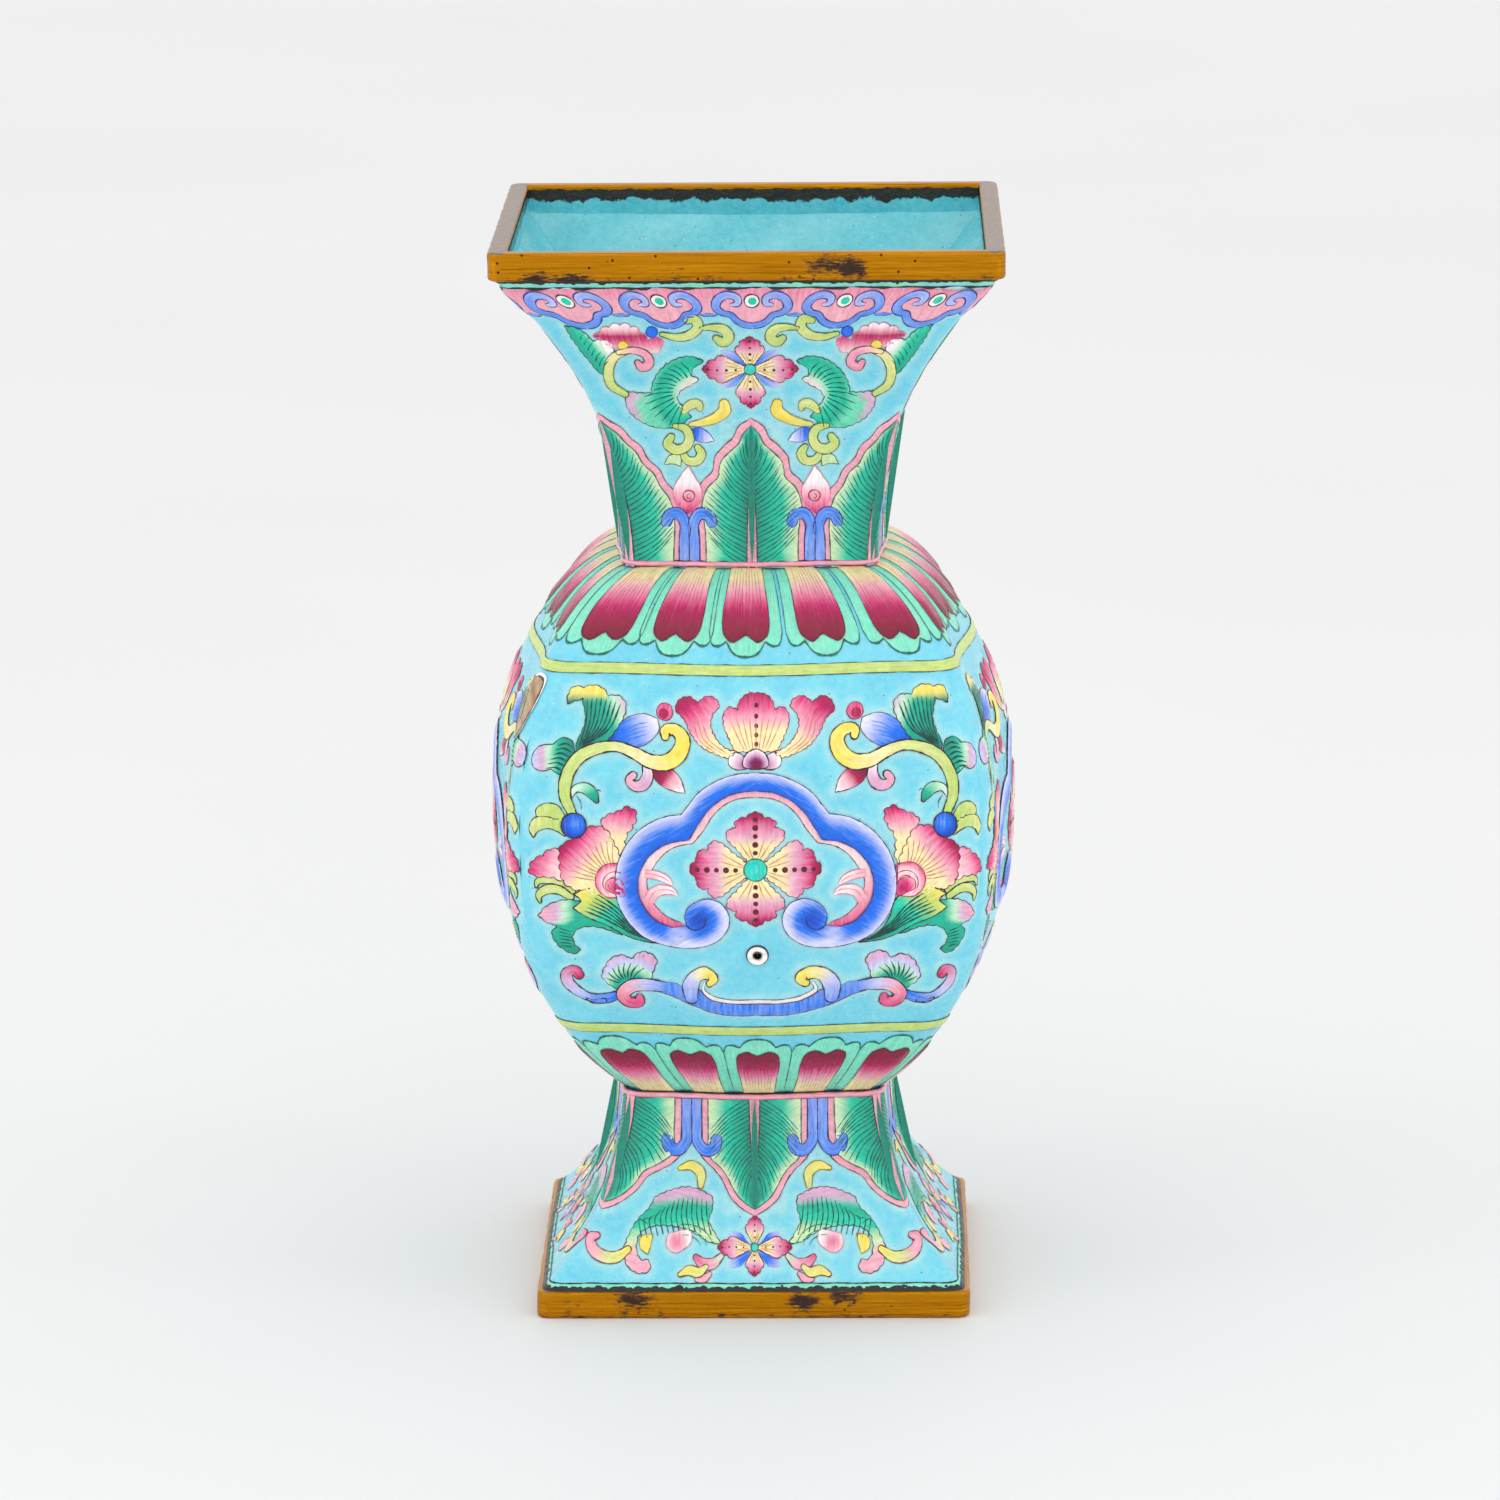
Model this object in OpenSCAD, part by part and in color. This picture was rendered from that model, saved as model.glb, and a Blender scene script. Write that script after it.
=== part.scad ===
// Square baluster vase in beaker form: hammered copper sheet, enamelled inside and out.
// Copper panels are soldered at mitred corners into a foot, a body and a neck, a floor plate
// closes the body above the hollow foot, and gilt copper frames finish the mouth and the foot.
// +Z is up, and the origin is the middle of the foot's resting face.

/* [Heights] */
// Overall height
height = 190.6; // [160:0.2:220]
// Height of the gilt frame under the foot
foot_rim_h = 4.8; // [3:0.1:8]
// Height of the joint between foot and body
waist_z = 37.6; // [30:0.2:44]
// Height at which the body is widest
belly_z = 88.6; // [80:0.2:96]
// Height of the joint between body and neck
neck_z = 132.0; // [122:0.2:142]
// Height of the gilt frame round the mouth
mouth_rim_h = 4.9; // [3:0.1:8]

/* [Widths across the middle of a face] */
// Gilt frame round the mouth, outside
mouth_w = 88.6; // [76:0.2:104]
// Neck where it joins the body
neck_w = 46.8; // [40:0.2:56]
// Body at its widest
belly_w = 92.8; // [78:0.2:110]
// Waist where the body joins the foot
waist_w = 49.2; // [42:0.2:58]
// Gilt frame under the foot, outside
foot_w = 76.6; // [64:0.2:90]

/* [Cross-section] */
// How far the middle of a neck face stands out past its edges
neck_bow = 1.4; // [0:0.1:3]
// The same at the widest part of the body
belly_bow = 4; // [0:0.1:6]
// The same at the waist
waist_bow = 1.8; // [0:0.1:3]
// The same beside the gilt frames
rim_bow = 0.3; // [0:0.1:1]
// Corner radius of the neck at the joint
neck_corner_r = 4; // [3:0.1:6]
// Corner radius of the body at its widest
belly_corner_r = 7.5; // [5:0.1:12]
// Corner radius of the waist
waist_corner_r = 4.5; // [3:0.1:6]
// Corner radius of both gilt frames
rim_corner_r = 2.4; // [1:0.1:4]

/* [Wall] */
// Thickness of the copper sheet
copper_t = 1; // [0.8:0.1:1.6]
// Thickness of the enamel outside
enamel_t = 0.5; // [0.3:0.1:0.8]
// Thickness of the enamel inside
lining_t = 0.4; // [0.3:0.1:0.6]
// Thickness of the floor plate
floor_t = 1.2; // [0.8:0.1:2]

/* [Gilt frames and joint beads] */
// How far a frame stands out past the enamel beside it
rim_lip = 0.5; // [0.2:0.1:1]
// Width of a frame's flat edge
rim_t = 3.4; // [2.8:0.1:5]
// Height of the bead that covers a joint
bead_h = 1.4; // [0.8:0.1:2.5]
// How far a bead stands out
bead_t = 1; // [0.5:0.1:1.5]

/* [Small hole in the front] */
// Diameter of the hole
hole_d = 1.4; // [1:0.1:3]
// Height of the hole's axis
hole_z = 67.2; // [50:0.2:86]
// How far the hole is to the right of the middle of the face
hole_x = 1.2; // [-6:0.2:6]

/* [Hidden] */

// How sharply the neck flares towards the mouth, and the foot towards the floor.
neck_flare = 2.33;
foot_flare = 2.45;
// How the body falls from its widest part to the waist, and to the neck.
belly_fall = 2.7;
shoulder_fall = 1.24;

// Stations up each section, and segments along a face and along half a corner.
neck_rows = 11;
lower_body_rows = 9;
upper_body_rows = 10;
foot_rows = 9;
face_cols = 6;
corner_cols = 2;
frame_fn = 32;
// The smallest corner radius that an inner layer keeps.
least_r = 0.6;
// Step along a profile for measuring its slope.
slope_step = 0.001;
// How far cutters reach past what they cut.
past = 1;

// Depths of the layer boundaries under the outside surface.
copper_d = enamel_t;
lining_d = enamel_t + copper_t;
inside_d = enamel_t + copper_t + lining_t;
neck_top_z = height - mouth_rim_h;
neck_top_a = mouth_w / 2 - rim_lip;
foot_bottom_a = foot_w / 2 - rim_lip;
neck_joint_a = neck_w / 2 - enamel_t;

copper = "peru";
turquoise = "mediumturquoise";
gilt = "goldenrod";
pink = "pink";

function mix(a, b, t) = a + (b - a) * t;
function flat(rows) = [for (row = rows) each row];

// A station is [half width at the middle of a face, height, bow, corner radius].
function neck_station(t) =
  let (share = pow(max(t, 0), neck_flare))
  [mix(neck_w / 2, neck_top_a, share), mix(neck_z, neck_top_z, t),
   mix(neck_bow, rim_bow, max(t, 0)), mix(neck_corner_r, rim_corner_r, max(t, 0))];

function foot_station(t) =
  let (share = pow(1 - t, foot_flare))
  [mix(waist_w / 2, foot_bottom_a, share), mix(foot_rim_h, waist_z, t),
   mix(rim_bow, waist_bow, t), mix(rim_corner_r, waist_corner_r, t)];

// From -1 at the waist, through 0 at the widest part, to 1 at the neck.
function body_station(t) =
  t < 0
    ? let (u = -t, share = pow(u, belly_fall))
      [mix(belly_w / 2, waist_w / 2, share), mix(belly_z, waist_z, u),
       mix(belly_bow, waist_bow, share), mix(belly_corner_r, waist_corner_r, share)]
    : let (share = pow(cos(90 * t), shoulder_fall))
      [mix(neck_joint_a, belly_w / 2, share), mix(belly_z, neck_z, sin(90 * t)),
       mix(neck_bow, belly_bow, share), mix(neck_corner_r - enamel_t, belly_corner_r, share)];

// Moves a station in by a wall depth. Level stations keep their height, so that ends stay flat.
function level_in(s, slope, depth) =
  let (d = depth * sqrt(1 + slope * slope))
  [s[0] - d, s[1], s[2], max(s[3] - d, least_r)];

function slope_of(before, after) = (after[0] - before[0]) / (after[1] - before[1]);

function neck_in(t, depth) =
  let (s = neck_station(t), below = neck_station(t - slope_step), above = neck_station(t + slope_step))
  level_in(s, slope_of(below, above), depth);

function foot_in(t, depth) =
  let (s = foot_station(t), below = foot_station(max(t - slope_step, 0)),
       above = foot_station(min(t + slope_step, 1)))
  level_in(s, slope_of(below, above), depth);

function body_in(t, depth) =
  let (s = body_station(t), below = body_station(max(t - slope_step, -1)),
       above = body_station(min(t + slope_step, 1)),
       run = [above[0] - below[0], above[1] - below[1]],
       inward = t >= 1 ? [0, -1] : [-run[1], run[0]] / norm(run))
  t <= -1
    ? level_in(s, slope_of(below, above), depth)
    : [s[0] + inward[0] * depth, s[1] + inward[1] * depth, s[2], max(s[3] + inward[0] * depth, least_r)];

// One face of a station's outline, from mid corner to mid corner, as 3-D points facing -Y.
function face_points(s) =
  let (edge = s[0] - s[2], run = edge - s[3])
  concat(
    [for (i = [0 : corner_cols - 1])
      let (a = 45 - 45 * i / corner_cols)
      [-run - s[3] * sin(a), -run - s[3] * cos(a), s[1]]],
    [for (i = [0 : face_cols])
      let (k = 2 * i / face_cols - 1)
      [k * run, -edge - s[2] * pow(cos(90 * k), 2), s[1]]],
    [for (i = [1 : corner_cols])
      let (a = 45 * i / corner_cols)
      [run + s[3] * sin(a), -run - s[3] * cos(a), s[1]]]);

function turned(points, angle) =
  [for (p = points) [p[0] * cos(angle) - p[1] * sin(angle), p[0] * sin(angle) + p[1] * cos(angle), p[2]]];

// The whole outline, with each corner point once.
function ring_points(s) =
  let (face = face_points(s), n = len(face) - 1)
  flat([for (side = [0 : 3]) turned([for (i = [0 : n - 1]) face[i]], 90 * side)]);

// A closed solid between two grids of points, rows up and columns anticlockwise.
module between(outer, inner, closed) {
  rows = len(outer);
  cols = len(outer[0]);
  last = closed ? cols - 1 : cols - 2;
  shift = rows * cols;
  function at(layer, r, c) = layer * shift + r * cols + c % cols;
  function quad(a, b, c, d) = [[a, c, b], [a, d, c]];
  polyhedron(
    points = concat(flat(outer), flat(inner)),
    faces = flat(concat(
      [for (r = [0 : rows - 2], c = [0 : last])
        quad(at(0, r, c), at(0, r, c + 1), at(0, r + 1, c + 1), at(0, r + 1, c))],
      [for (r = [0 : rows - 2], c = [0 : last])
        quad(at(1, r + 1, c + 1), at(1, r, c + 1), at(1, r, c), at(1, r + 1, c))],
      [for (c = [0 : last]) quad(at(1, 0, c), at(1, 0, c + 1), at(0, 0, c + 1), at(0, 0, c))],
      [for (c = [0 : last])
        quad(at(0, rows - 1, c), at(0, rows - 1, c + 1), at(1, rows - 1, c + 1), at(1, rows - 1, c))],
      closed ? [] : [for (r = [0 : rows - 2])
        quad(at(1, r, 0), at(0, r, 0), at(0, r + 1, 0), at(1, r + 1, 0))],
      closed ? [] : [for (r = [0 : rows - 2])
        quad(at(0, r, cols - 1), at(1, r, cols - 1), at(1, r + 1, cols - 1), at(0, r + 1, cols - 1))])));
}

// Steps up each section. The neck's copper and lining start lower, to pass through the body's top.
// The foot's lining stops under the floor plate, at a step that all of the foot's layers share.
function steps(from, to, rows) = [for (i = [0 : rows]) mix(from, to, i / rows)];
neck_steps = steps(0, 1, neck_rows);
neck_tail = -inside_d / (neck_top_z - neck_z);
foot_lining_top = (waist_z - floor_t - foot_rim_h) / (waist_z - foot_rim_h);
foot_lined_steps = steps(0, foot_lining_top, foot_rows - 1);
foot_steps = concat(foot_lined_steps, [1]);
body_steps = concat(steps(-1, 0, lower_body_rows), [for (i = [1 : upper_body_rows]) i / upper_body_rows]);

function neck_layer(depth) = [for (t = concat([neck_tail], neck_steps)) neck_in(t, depth)];
function neck_outside(depth) = [for (t = neck_steps) neck_in(t, depth)];
function foot_layer(depth) = [for (t = foot_steps) foot_in(t, depth)];
function body_layer(depth) = [for (t = body_steps) body_in(t, depth)];

module panel(outer, inner, side) {
  color(copper)
  between([for (s = outer) turned(face_points(s), 90 * side)],
          [for (s = inner) turned(face_points(s), 90 * side)], false);
}

module coat(outer, inner, shade) {
  color(shade)
  between([for (s = outer) ring_points(s)], [for (s = inner) ring_points(s)], true);
}

module neck_panel(side) { panel(neck_layer(copper_d), neck_layer(lining_d), side); }
module body_panel(side) { panel(body_layer(copper_d), body_layer(lining_d), side); }
module foot_panel(side) { panel(foot_layer(copper_d), foot_layer(lining_d), side); }

// The small hole runs level through the front wall only.
module front_hole() {
  translate([hole_x, -belly_w / 2 - past, hole_z])
  rotate([-90, 0, 0])
  cylinder(d = hole_d, h = belly_w / 2, $fn = frame_fn);
}

module body_front_panel() {
  difference() { body_panel(0); front_hole(); }
}

module neck_enamel() { coat(neck_outside(0), neck_outside(copper_d), turquoise); }
module neck_lining() { coat(neck_layer(lining_d), neck_layer(inside_d), turquoise); }
module foot_enamel() { coat(foot_layer(0), foot_layer(copper_d), turquoise); }

module body_enamel() {
  difference() { coat(body_layer(0), body_layer(copper_d), turquoise); front_hole(); }
}

module body_lining() {
  difference() { coat(body_layer(lining_d), body_layer(inside_d), turquoise); front_hole(); }
}

function foot_lined(depth) = [for (t = foot_lined_steps) foot_in(t, depth)];
module foot_lining() { coat(foot_lined(lining_d), foot_lined(inside_d), turquoise); }

// A flat plate that fills a station's outline.
module plate(s, z, thickness, shade) {
  color(shade)
  translate([0, 0, z])
  linear_extrude(thickness)
  polygon([for (p = ring_points(s)) [p[0], p[1]]]);
}

module body_floor() { plate(foot_in(1, lining_d), waist_z - floor_t, floor_t, copper); }
module floor_enamel() { plate(body_in(-1, inside_d), waist_z, lining_t, turquoise); }
module floor_counter_enamel() {
  plate(foot_in(foot_lining_top, inside_d), waist_z - floor_t - lining_t, lining_t, turquoise);
}

// The outline of a layer at height z, in line with the facets between its stations.
function outline_at(layer, z) =
  let (
    below = max([for (k = [0 : len(layer) - 2]) if (layer[k][1] <= z) k]),
    low = layer[below],
    high = layer[below + 1]
  )
  mix(low, high, (z - low[1]) / (high[1] - low[1]));

// A rounded bead on the outside of a layer, from height z up.
module bead(layer, z) {
  levels = [0, 0.15, 0.5, 0.85, 1];
  outs = [0.55, 0.9, 1, 0.9, 0.55];
  inner = [for (level = levels) outline_at(layer, z + bead_h * level)];
  outer = [for (i = [0 : 4]) inner[i] + bead_t * outs[i] * [1, 0, 0, 1]];
  color(pink)
  between([for (s = outer) ring_points(s)], [for (s = inner) ring_points(s)], true);
}

module neck_joint_bead() { bead(neck_outside(0), neck_z); }
module waist_joint_bead() { bead(foot_layer(0), waist_z - bead_h); }

module rounded_square(width, r) {
  square([width, width - 2 * r], center = true);
  square([width - 2 * r, width], center = true);
  for (x = [-1, 1], y = [-1, 1])
    translate([x, y] * (width / 2 - r)) circle(r, $fn = frame_fn);
}

// A gilt copper frame, with square shoulders and rounded corners.
module gilt_frame(width, h) {
  color(gilt)
  difference() {
    linear_extrude(h) rounded_square(width, rim_corner_r);
    translate([0, 0, -past])
    linear_extrude(h + 2 * past) rounded_square(width - 2 * rim_t, least_r);
  }
}

module mouth_rim() { translate([0, 0, neck_top_z]) gilt_frame(mouth_w, mouth_rim_h); }
module foot_rim() { gilt_frame(foot_w, foot_rim_h); }

mouth_rim();
neck_panel(0);  // neck_front_panel
neck_panel(1);  // neck_right_panel
neck_panel(2);  // neck_back_panel
neck_panel(3);  // neck_left_panel
neck_enamel();
neck_lining();
neck_joint_bead();
body_front_panel();
body_panel(1);  // body_right_panel
body_panel(2);  // body_back_panel
body_panel(3);  // body_left_panel
body_enamel();
body_lining();
body_floor();
floor_enamel();
floor_counter_enamel();
waist_joint_bead();
foot_panel(0);  // foot_front_panel
foot_panel(1);  // foot_right_panel
foot_panel(2);  // foot_back_panel
foot_panel(3);  // foot_left_panel
foot_enamel();
foot_lining();
foot_rim();
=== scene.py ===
"""Looks of the square enamelled vase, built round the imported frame.

Every section (neck, body, foot) is read from its enamel coat in the frame and unrolled face by
face: u runs across a face from its middle, s runs up its profile, both in millimetres. Motifs are
drawn once for a face in local millimetres, raised on a relief, and laid on all four sides.
"""
import math

import bpy
import numpy as np
from mathutils import Matrix, Vector, geometry, kdtree


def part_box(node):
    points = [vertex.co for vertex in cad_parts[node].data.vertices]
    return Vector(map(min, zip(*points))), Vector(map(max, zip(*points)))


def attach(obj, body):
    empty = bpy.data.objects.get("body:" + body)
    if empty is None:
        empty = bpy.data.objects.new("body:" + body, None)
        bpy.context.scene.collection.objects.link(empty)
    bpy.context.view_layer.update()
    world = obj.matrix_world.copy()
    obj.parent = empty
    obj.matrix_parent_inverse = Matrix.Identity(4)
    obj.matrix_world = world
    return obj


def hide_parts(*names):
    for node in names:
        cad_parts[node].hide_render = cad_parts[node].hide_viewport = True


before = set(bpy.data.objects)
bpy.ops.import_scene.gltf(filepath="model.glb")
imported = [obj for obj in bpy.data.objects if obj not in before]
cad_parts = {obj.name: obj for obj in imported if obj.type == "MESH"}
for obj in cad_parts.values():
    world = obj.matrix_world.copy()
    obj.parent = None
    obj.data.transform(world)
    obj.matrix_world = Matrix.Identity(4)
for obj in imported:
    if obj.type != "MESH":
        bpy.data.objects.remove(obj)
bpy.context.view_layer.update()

MM = 0.001
SIDES = ("front", "right", "back", "left")
rng = np.random.default_rng(12)


# ---------------------------------------------------------------- colours

def srgb(r, g, b):
    """An 8-bit sRGB colour as linear values."""
    c = np.array([r, g, b], float) / 255
    return np.where(c <= 0.04045, c / 12.92, ((c + 0.055) / 1.055) ** 2.4)


TURQUOISE = srgb(116, 224, 246)
MINT = srgb(142, 226, 200)
MAGENTA = srgb(172, 18, 84)
CRIMSON = srgb(126, 6, 48)
ROSE = srgb(226, 112, 150)
PINK = srgb(242, 178, 194)
BLUSH = srgb(252, 224, 224)
CREAM = srgb(248, 234, 182)
YELLOW = srgb(246, 226, 122)
STRAW = srgb(214, 222, 150)
LIME = srgb(186, 212, 126)
GREEN = srgb(16, 176, 146)
DEEP_GREEN = srgb(4, 136, 116)
JADE = srgb(52, 206, 172)
PALE_GREEN = srgb(194, 236, 206)
BLUE = srgb(52, 116, 234)
NAVY = srgb(18, 60, 178)
LAVENDER = srgb(200, 204, 244)
PERIWINKLE = srgb(122, 158, 240)
MAUVE = srgb(218, 172, 204)
PURPLE = srgb(118, 20, 96)
WHITE = srgb(246, 244, 246)
INK = srgb(38, 24, 34)
BROWN = srgb(96, 48, 52)


def ramp(*stops):
    """A colour ramp: ramp((0, A), (1, B))(t) gives the colours at an array of t."""
    at = [stop[0] for stop in stops]
    colours = np.array([stop[1] for stop in stops])
    return lambda t: np.stack([np.interp(t, at, colours[:, i]) for i in range(3)], axis=-1)


def smooth(t):
    t = np.clip(t, 0, 1)
    return t * t * (3 - 2 * t)


# ---------------------------------------------------------------- curves

def through(points, closed=False, corners=(), step=0.4):
    """Samples of a smooth curve through the points, which may carry extra values such as a width."""
    p = np.array(points, float)
    n = len(p)
    out = []

    def tangent(i, segment):
        before, after = (i - 1) % n, (i + 1) % n
        open_end = not closed and i in (0, n - 1)
        d0 = max(math.dist(p[i][:2], p[before][:2]), 1e-6)
        d1 = max(math.dist(p[after][:2], p[i][:2]), 1e-6)
        arriving, leaving = (p[i] - p[before]) / d0, (p[after] - p[i]) / d1
        if open_end:
            return leaving if i == 0 else arriving
        if i in corners:
            return leaving if segment == "leaving" else arriving
        return (leaving * d0 + arriving * d1) / (d0 + d1)

    for i in range(n if closed else n - 1):
        j = (i + 1) % n
        d = max(math.dist(p[i][:2], p[j][:2]), 1e-6)
        m0, m1 = tangent(i, "leaving") * d, tangent(j, "arriving") * d
        for t in np.arange(0, 1, 1 / max(2, math.ceil(d / step))):
            out.append((2 * t**3 - 3 * t**2 + 1) * p[i] + (t**3 - 2 * t**2 + t) * m0
                       + (3 * t**2 - 2 * t**3) * p[j] + (t**3 - t**2) * m1)
    if not closed:
        out.append(p[-1])
    return np.array(out)


def quarter_turned(x, y, side):
    """Coordinates on the front face, turned to a side."""
    c, n = round(math.cos(math.pi / 2 * side)), round(math.sin(math.pi / 2 * side))
    return x * c - y * n, x * n + y * c


def circle(x, z, rx, rz=None, n=28):
    a = np.linspace(0, 2 * math.pi, n, endpoint=False)
    return np.stack([x + rx * np.cos(a), z + (rz or rx) * np.sin(a)], axis=1)


# ---------------------------------------------------------------- sections read from the frame

# Heights in the drawing, and where they fall on the object.
DESIGN_Z = (0, 4.8, 37, 60, 115, 132, 184.4, 200)
OBJECT_Z = (0, 4.8, 37.6, 60.9, 115.9, 132.0, 185.6, 201.2)
RING = 40  # points in one ring of a coat
ARC_END, MIDDLE = 2, 5  # places of the flat's end and the mid-face within a face's ring points


def coat_rings(node):
    """The rings of points round the outside of a coat: (height, half width, bow, corner radius)."""
    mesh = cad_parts[node].data
    co = np.array([v.co for v in mesh.vertices]) / MM
    outside = set()
    for face in mesh.polygons:
        centre = co[list(face.vertices)].mean(axis=0)
        flat = np.array(face.normal[:2])
        if flat @ centre[:2] > 0.05 * np.linalg.norm(centre[:2]):
            outside.update(face.vertices)
    points = np.unique(np.round(co[sorted(outside)], 3), axis=0)
    rings = []
    for z in np.unique(points[:, 2]):
        ring = points[points[:, 2] == z]
        if len(ring) != RING:
            continue
        turn = np.arctan2(ring[:, 1], ring[:, 0])
        start = -0.75 * math.pi
        ring = ring[np.argsort(np.mod(turn - start + 1e-4, 2 * math.pi))]
        half = -ring[MIDDLE][1]
        edge, run = -ring[ARC_END][1], -ring[ARC_END][0]
        rings.append((z, half, half - edge, edge - run))
    return np.array(rings)


class Section:
    """One section's outside surface, over its profile length s and the distance u across a face."""

    def __init__(self, node):
        self.rings = coat_rings(node)
        steps = np.hypot(np.diff(self.rings[:, 0]), np.diff(self.rings[:, 1]))
        self.knots = np.concatenate([[0], np.cumsum(steps)])
        self.slopes = np.gradient(self.rings, self.knots, axis=0, edge_order=2)
        self.length = self.knots[-1]
        self.table = np.linspace(0, self.length, 600)
        self.heights = self.at(self.table)[0]

    def at(self, s):
        """Height, half width, bow and corner radius at profile lengths s."""
        s = np.clip(np.asarray(s, float), 0, self.length)
        i = np.clip(np.searchsorted(self.knots, s) - 1, 0, len(self.knots) - 2)
        d = (self.knots[i + 1] - self.knots[i])[..., None]
        t = (s - self.knots[i])[..., None] / d
        value = ((2 * t**3 - 3 * t**2 + 1) * self.rings[i] + (t**3 - 2 * t**2 + t) * d * self.slopes[i]
                 + (3 * t**2 - 2 * t**3) * self.rings[i + 1] + (t**3 - t**2) * d * self.slopes[i + 1])
        return np.moveaxis(value, -1, 0)

    def up(self, z):
        """Profile length at a design height z."""
        return np.interp(np.interp(z, DESIGN_Z, OBJECT_Z), self.heights, self.table)

    def reach(self, s):
        """Distance across a face from its middle to its corner."""
        z, half, bow, r = self.at(s)
        return half - bow - r + r * math.pi / 4

    def surface(self, u, s):
        z, half, bow, r = self.at(s)
        edge = half - bow
        run = edge - r
        size, sign = np.abs(u), np.sign(u)
        swell = bow * np.cos(math.pi / 2 * np.clip(size / run, 0, 1)) ** 2
        turn = np.clip((size - run) / r, 0, math.pi / 2)
        past = np.clip(size - run - r * math.pi / 2, 0, None)
        next_swell = bow * np.sin(math.pi / 2 * np.clip(past / run, 0, 1)) ** 2
        x = np.where(size <= run, size, run + r * np.sin(turn) + next_swell * (past > 0))
        y = np.where(size <= run, -(edge + swell), -(run + r * np.cos(turn)) + past)
        return np.stack([x * sign, y, z], axis=-1)

    def place(self, side, us, lift):
        """Points in metres, raised by lift along the surface's normal and turned to a side."""
        u, s = us[:, 0], np.clip(us[:, 1], 0.02, self.length - 0.02)
        e = 0.01
        across = self.surface(u + e, s) - self.surface(u - e, s)
        along = self.surface(u, s + e) - self.surface(u, s - e)
        normal = np.cross(across, along)
        normal /= np.linalg.norm(normal, axis=1)[:, None]
        beyond = us[:, 1] - s
        p = self.surface(u, s) + normal * np.asarray(lift).reshape(-1, 1)
        p = p + along / np.linalg.norm(along, axis=1)[:, None] * beyond[:, None]
        return np.stack([*quarter_turned(p[:, 0], p[:, 1], side), p[:, 2]], axis=1) * MM


# ---------------------------------------------------------------- drawing on an unrolled face

GROUND = -0.25  # the ground enamel's surface, against the coat in the frame
EDGE_RISE = 0.2  # relief at a motif's edge, above the ground
INNER_RISE = 0.28  # further relief inside a motif
RISE_RUN = 1.3  # how far in from its edge the relief rises
FILL_LIFT = 0.05  # the lowest fill, above the relief
LAYER = 0.042  # from one layer of fills to the next
LINE_LIFT = 0.055  # a line, above its layer


class Sheet:
    """Vertices on the unrolled face with their lift, colour and brush direction, and faces."""

    def __init__(self):
        self.us, self.lift, self.paint, self.flow, self.faces = [], [], [], [], []
        self.count = 0

    def add(self, us, lift, paint, flow, faces):
        n = len(us)
        self.us.append(us)
        self.lift.append(np.broadcast_to(lift, n))
        self.paint.append(np.broadcast_to(paint, (n, 3)))
        self.flow.append(np.broadcast_to(flow, (n, 3)))
        self.faces.extend([tuple(i + self.count for i in f) for f in faces])
        self.count += n

    def arrays(self):
        return (np.concatenate(self.us), np.concatenate(self.lift),
                np.concatenate(self.paint), np.concatenate(self.flow))


class Face:
    """What is drawn on one face of a section. The same drawing goes on all four."""

    def __init__(self, section):
        self.section = section
        self.fills, self.lines = Sheet(), Sheet()
        self.outlines = []

    def pen(self, place):
        return Pen(self, place)

    def mirrored(self):
        """Two pens, for the right half and the left half, in (across, height)."""
        up = self.section.up
        return [self.pen(lambda p, m=m: np.stack([m * p[:, 0], up(p[:, 1])], axis=1)) for m in (1, -1)]

    def measure(self):
        """The signed distance to the nearest motif's edge, on a grid over the face."""
        step = 0.4
        reach = float(self.section.reach(self.section.table).max()) + 1
        self.u0, self.grid_step = -reach, step
        us = np.arange(-reach, reach + step, step)
        ss = np.arange(0, self.section.length + step, step)
        inside = np.zeros((len(us), len(ss)), bool)
        samples = []
        for outline in self.outlines:
            samples.append(outline)
            lo, hi = outline.min(axis=0), outline.max(axis=0)
            i0, i1 = np.searchsorted(us, [lo[0], hi[0]])
            j0, j1 = np.searchsorted(ss, [lo[1], hi[1]])
            if i1 <= i0 or j1 <= j0:
                continue
            x, y = np.meshgrid(us[i0:i1], ss[j0:j1], indexing="ij")
            inside[i0:i1, j0:j1] |= inside_outline(x.ravel(), y.ravel(), outline).reshape(x.shape)
        samples = np.concatenate(samples)
        tree = kdtree.KDTree(len(samples))
        for i, (u, s) in enumerate(samples):
            tree.insert((u, s, 0), i)
        tree.balance()
        far = np.array([[tree.find((u, s, 0))[2] for s in ss] for u in us])
        self.distance = np.where(inside, far, -far)

    def edge_distance(self, us):
        i = np.clip((us[:, 0] - self.u0) / self.grid_step, 0, self.distance.shape[0] - 1.001)
        j = np.clip(us[:, 1] / self.grid_step, 0, self.distance.shape[1] - 1.001)
        a, b = i.astype(int), j.astype(int)
        x, y = i - a, j - b
        d = self.distance
        return ((d[a, b] * (1 - x) + d[a + 1, b] * x) * (1 - y)
                + (d[a, b + 1] * (1 - x) + d[a + 1, b + 1] * x) * y)

    def relief(self, us):
        d = self.edge_distance(us)
        rise = EDGE_RISE * smooth(1 + d / RISE_RUN) + INNER_RISE * smooth(d / RISE_RUN)
        return GROUND + rise


def inside_outline(x, y, outline):
    inside = np.zeros(len(x), bool)
    x0, y0 = outline[-1]
    for x1, y1 in outline:
        crosses = (y1 > y) != (y0 > y)
        with np.errstate(divide="ignore", invalid="ignore"):
            at = (x0 - x1) * (y - y1) / (y0 - y1) + x1
        inside ^= crosses & (x < at)
        x0, y0 = x1, y1
    return inside


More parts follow.
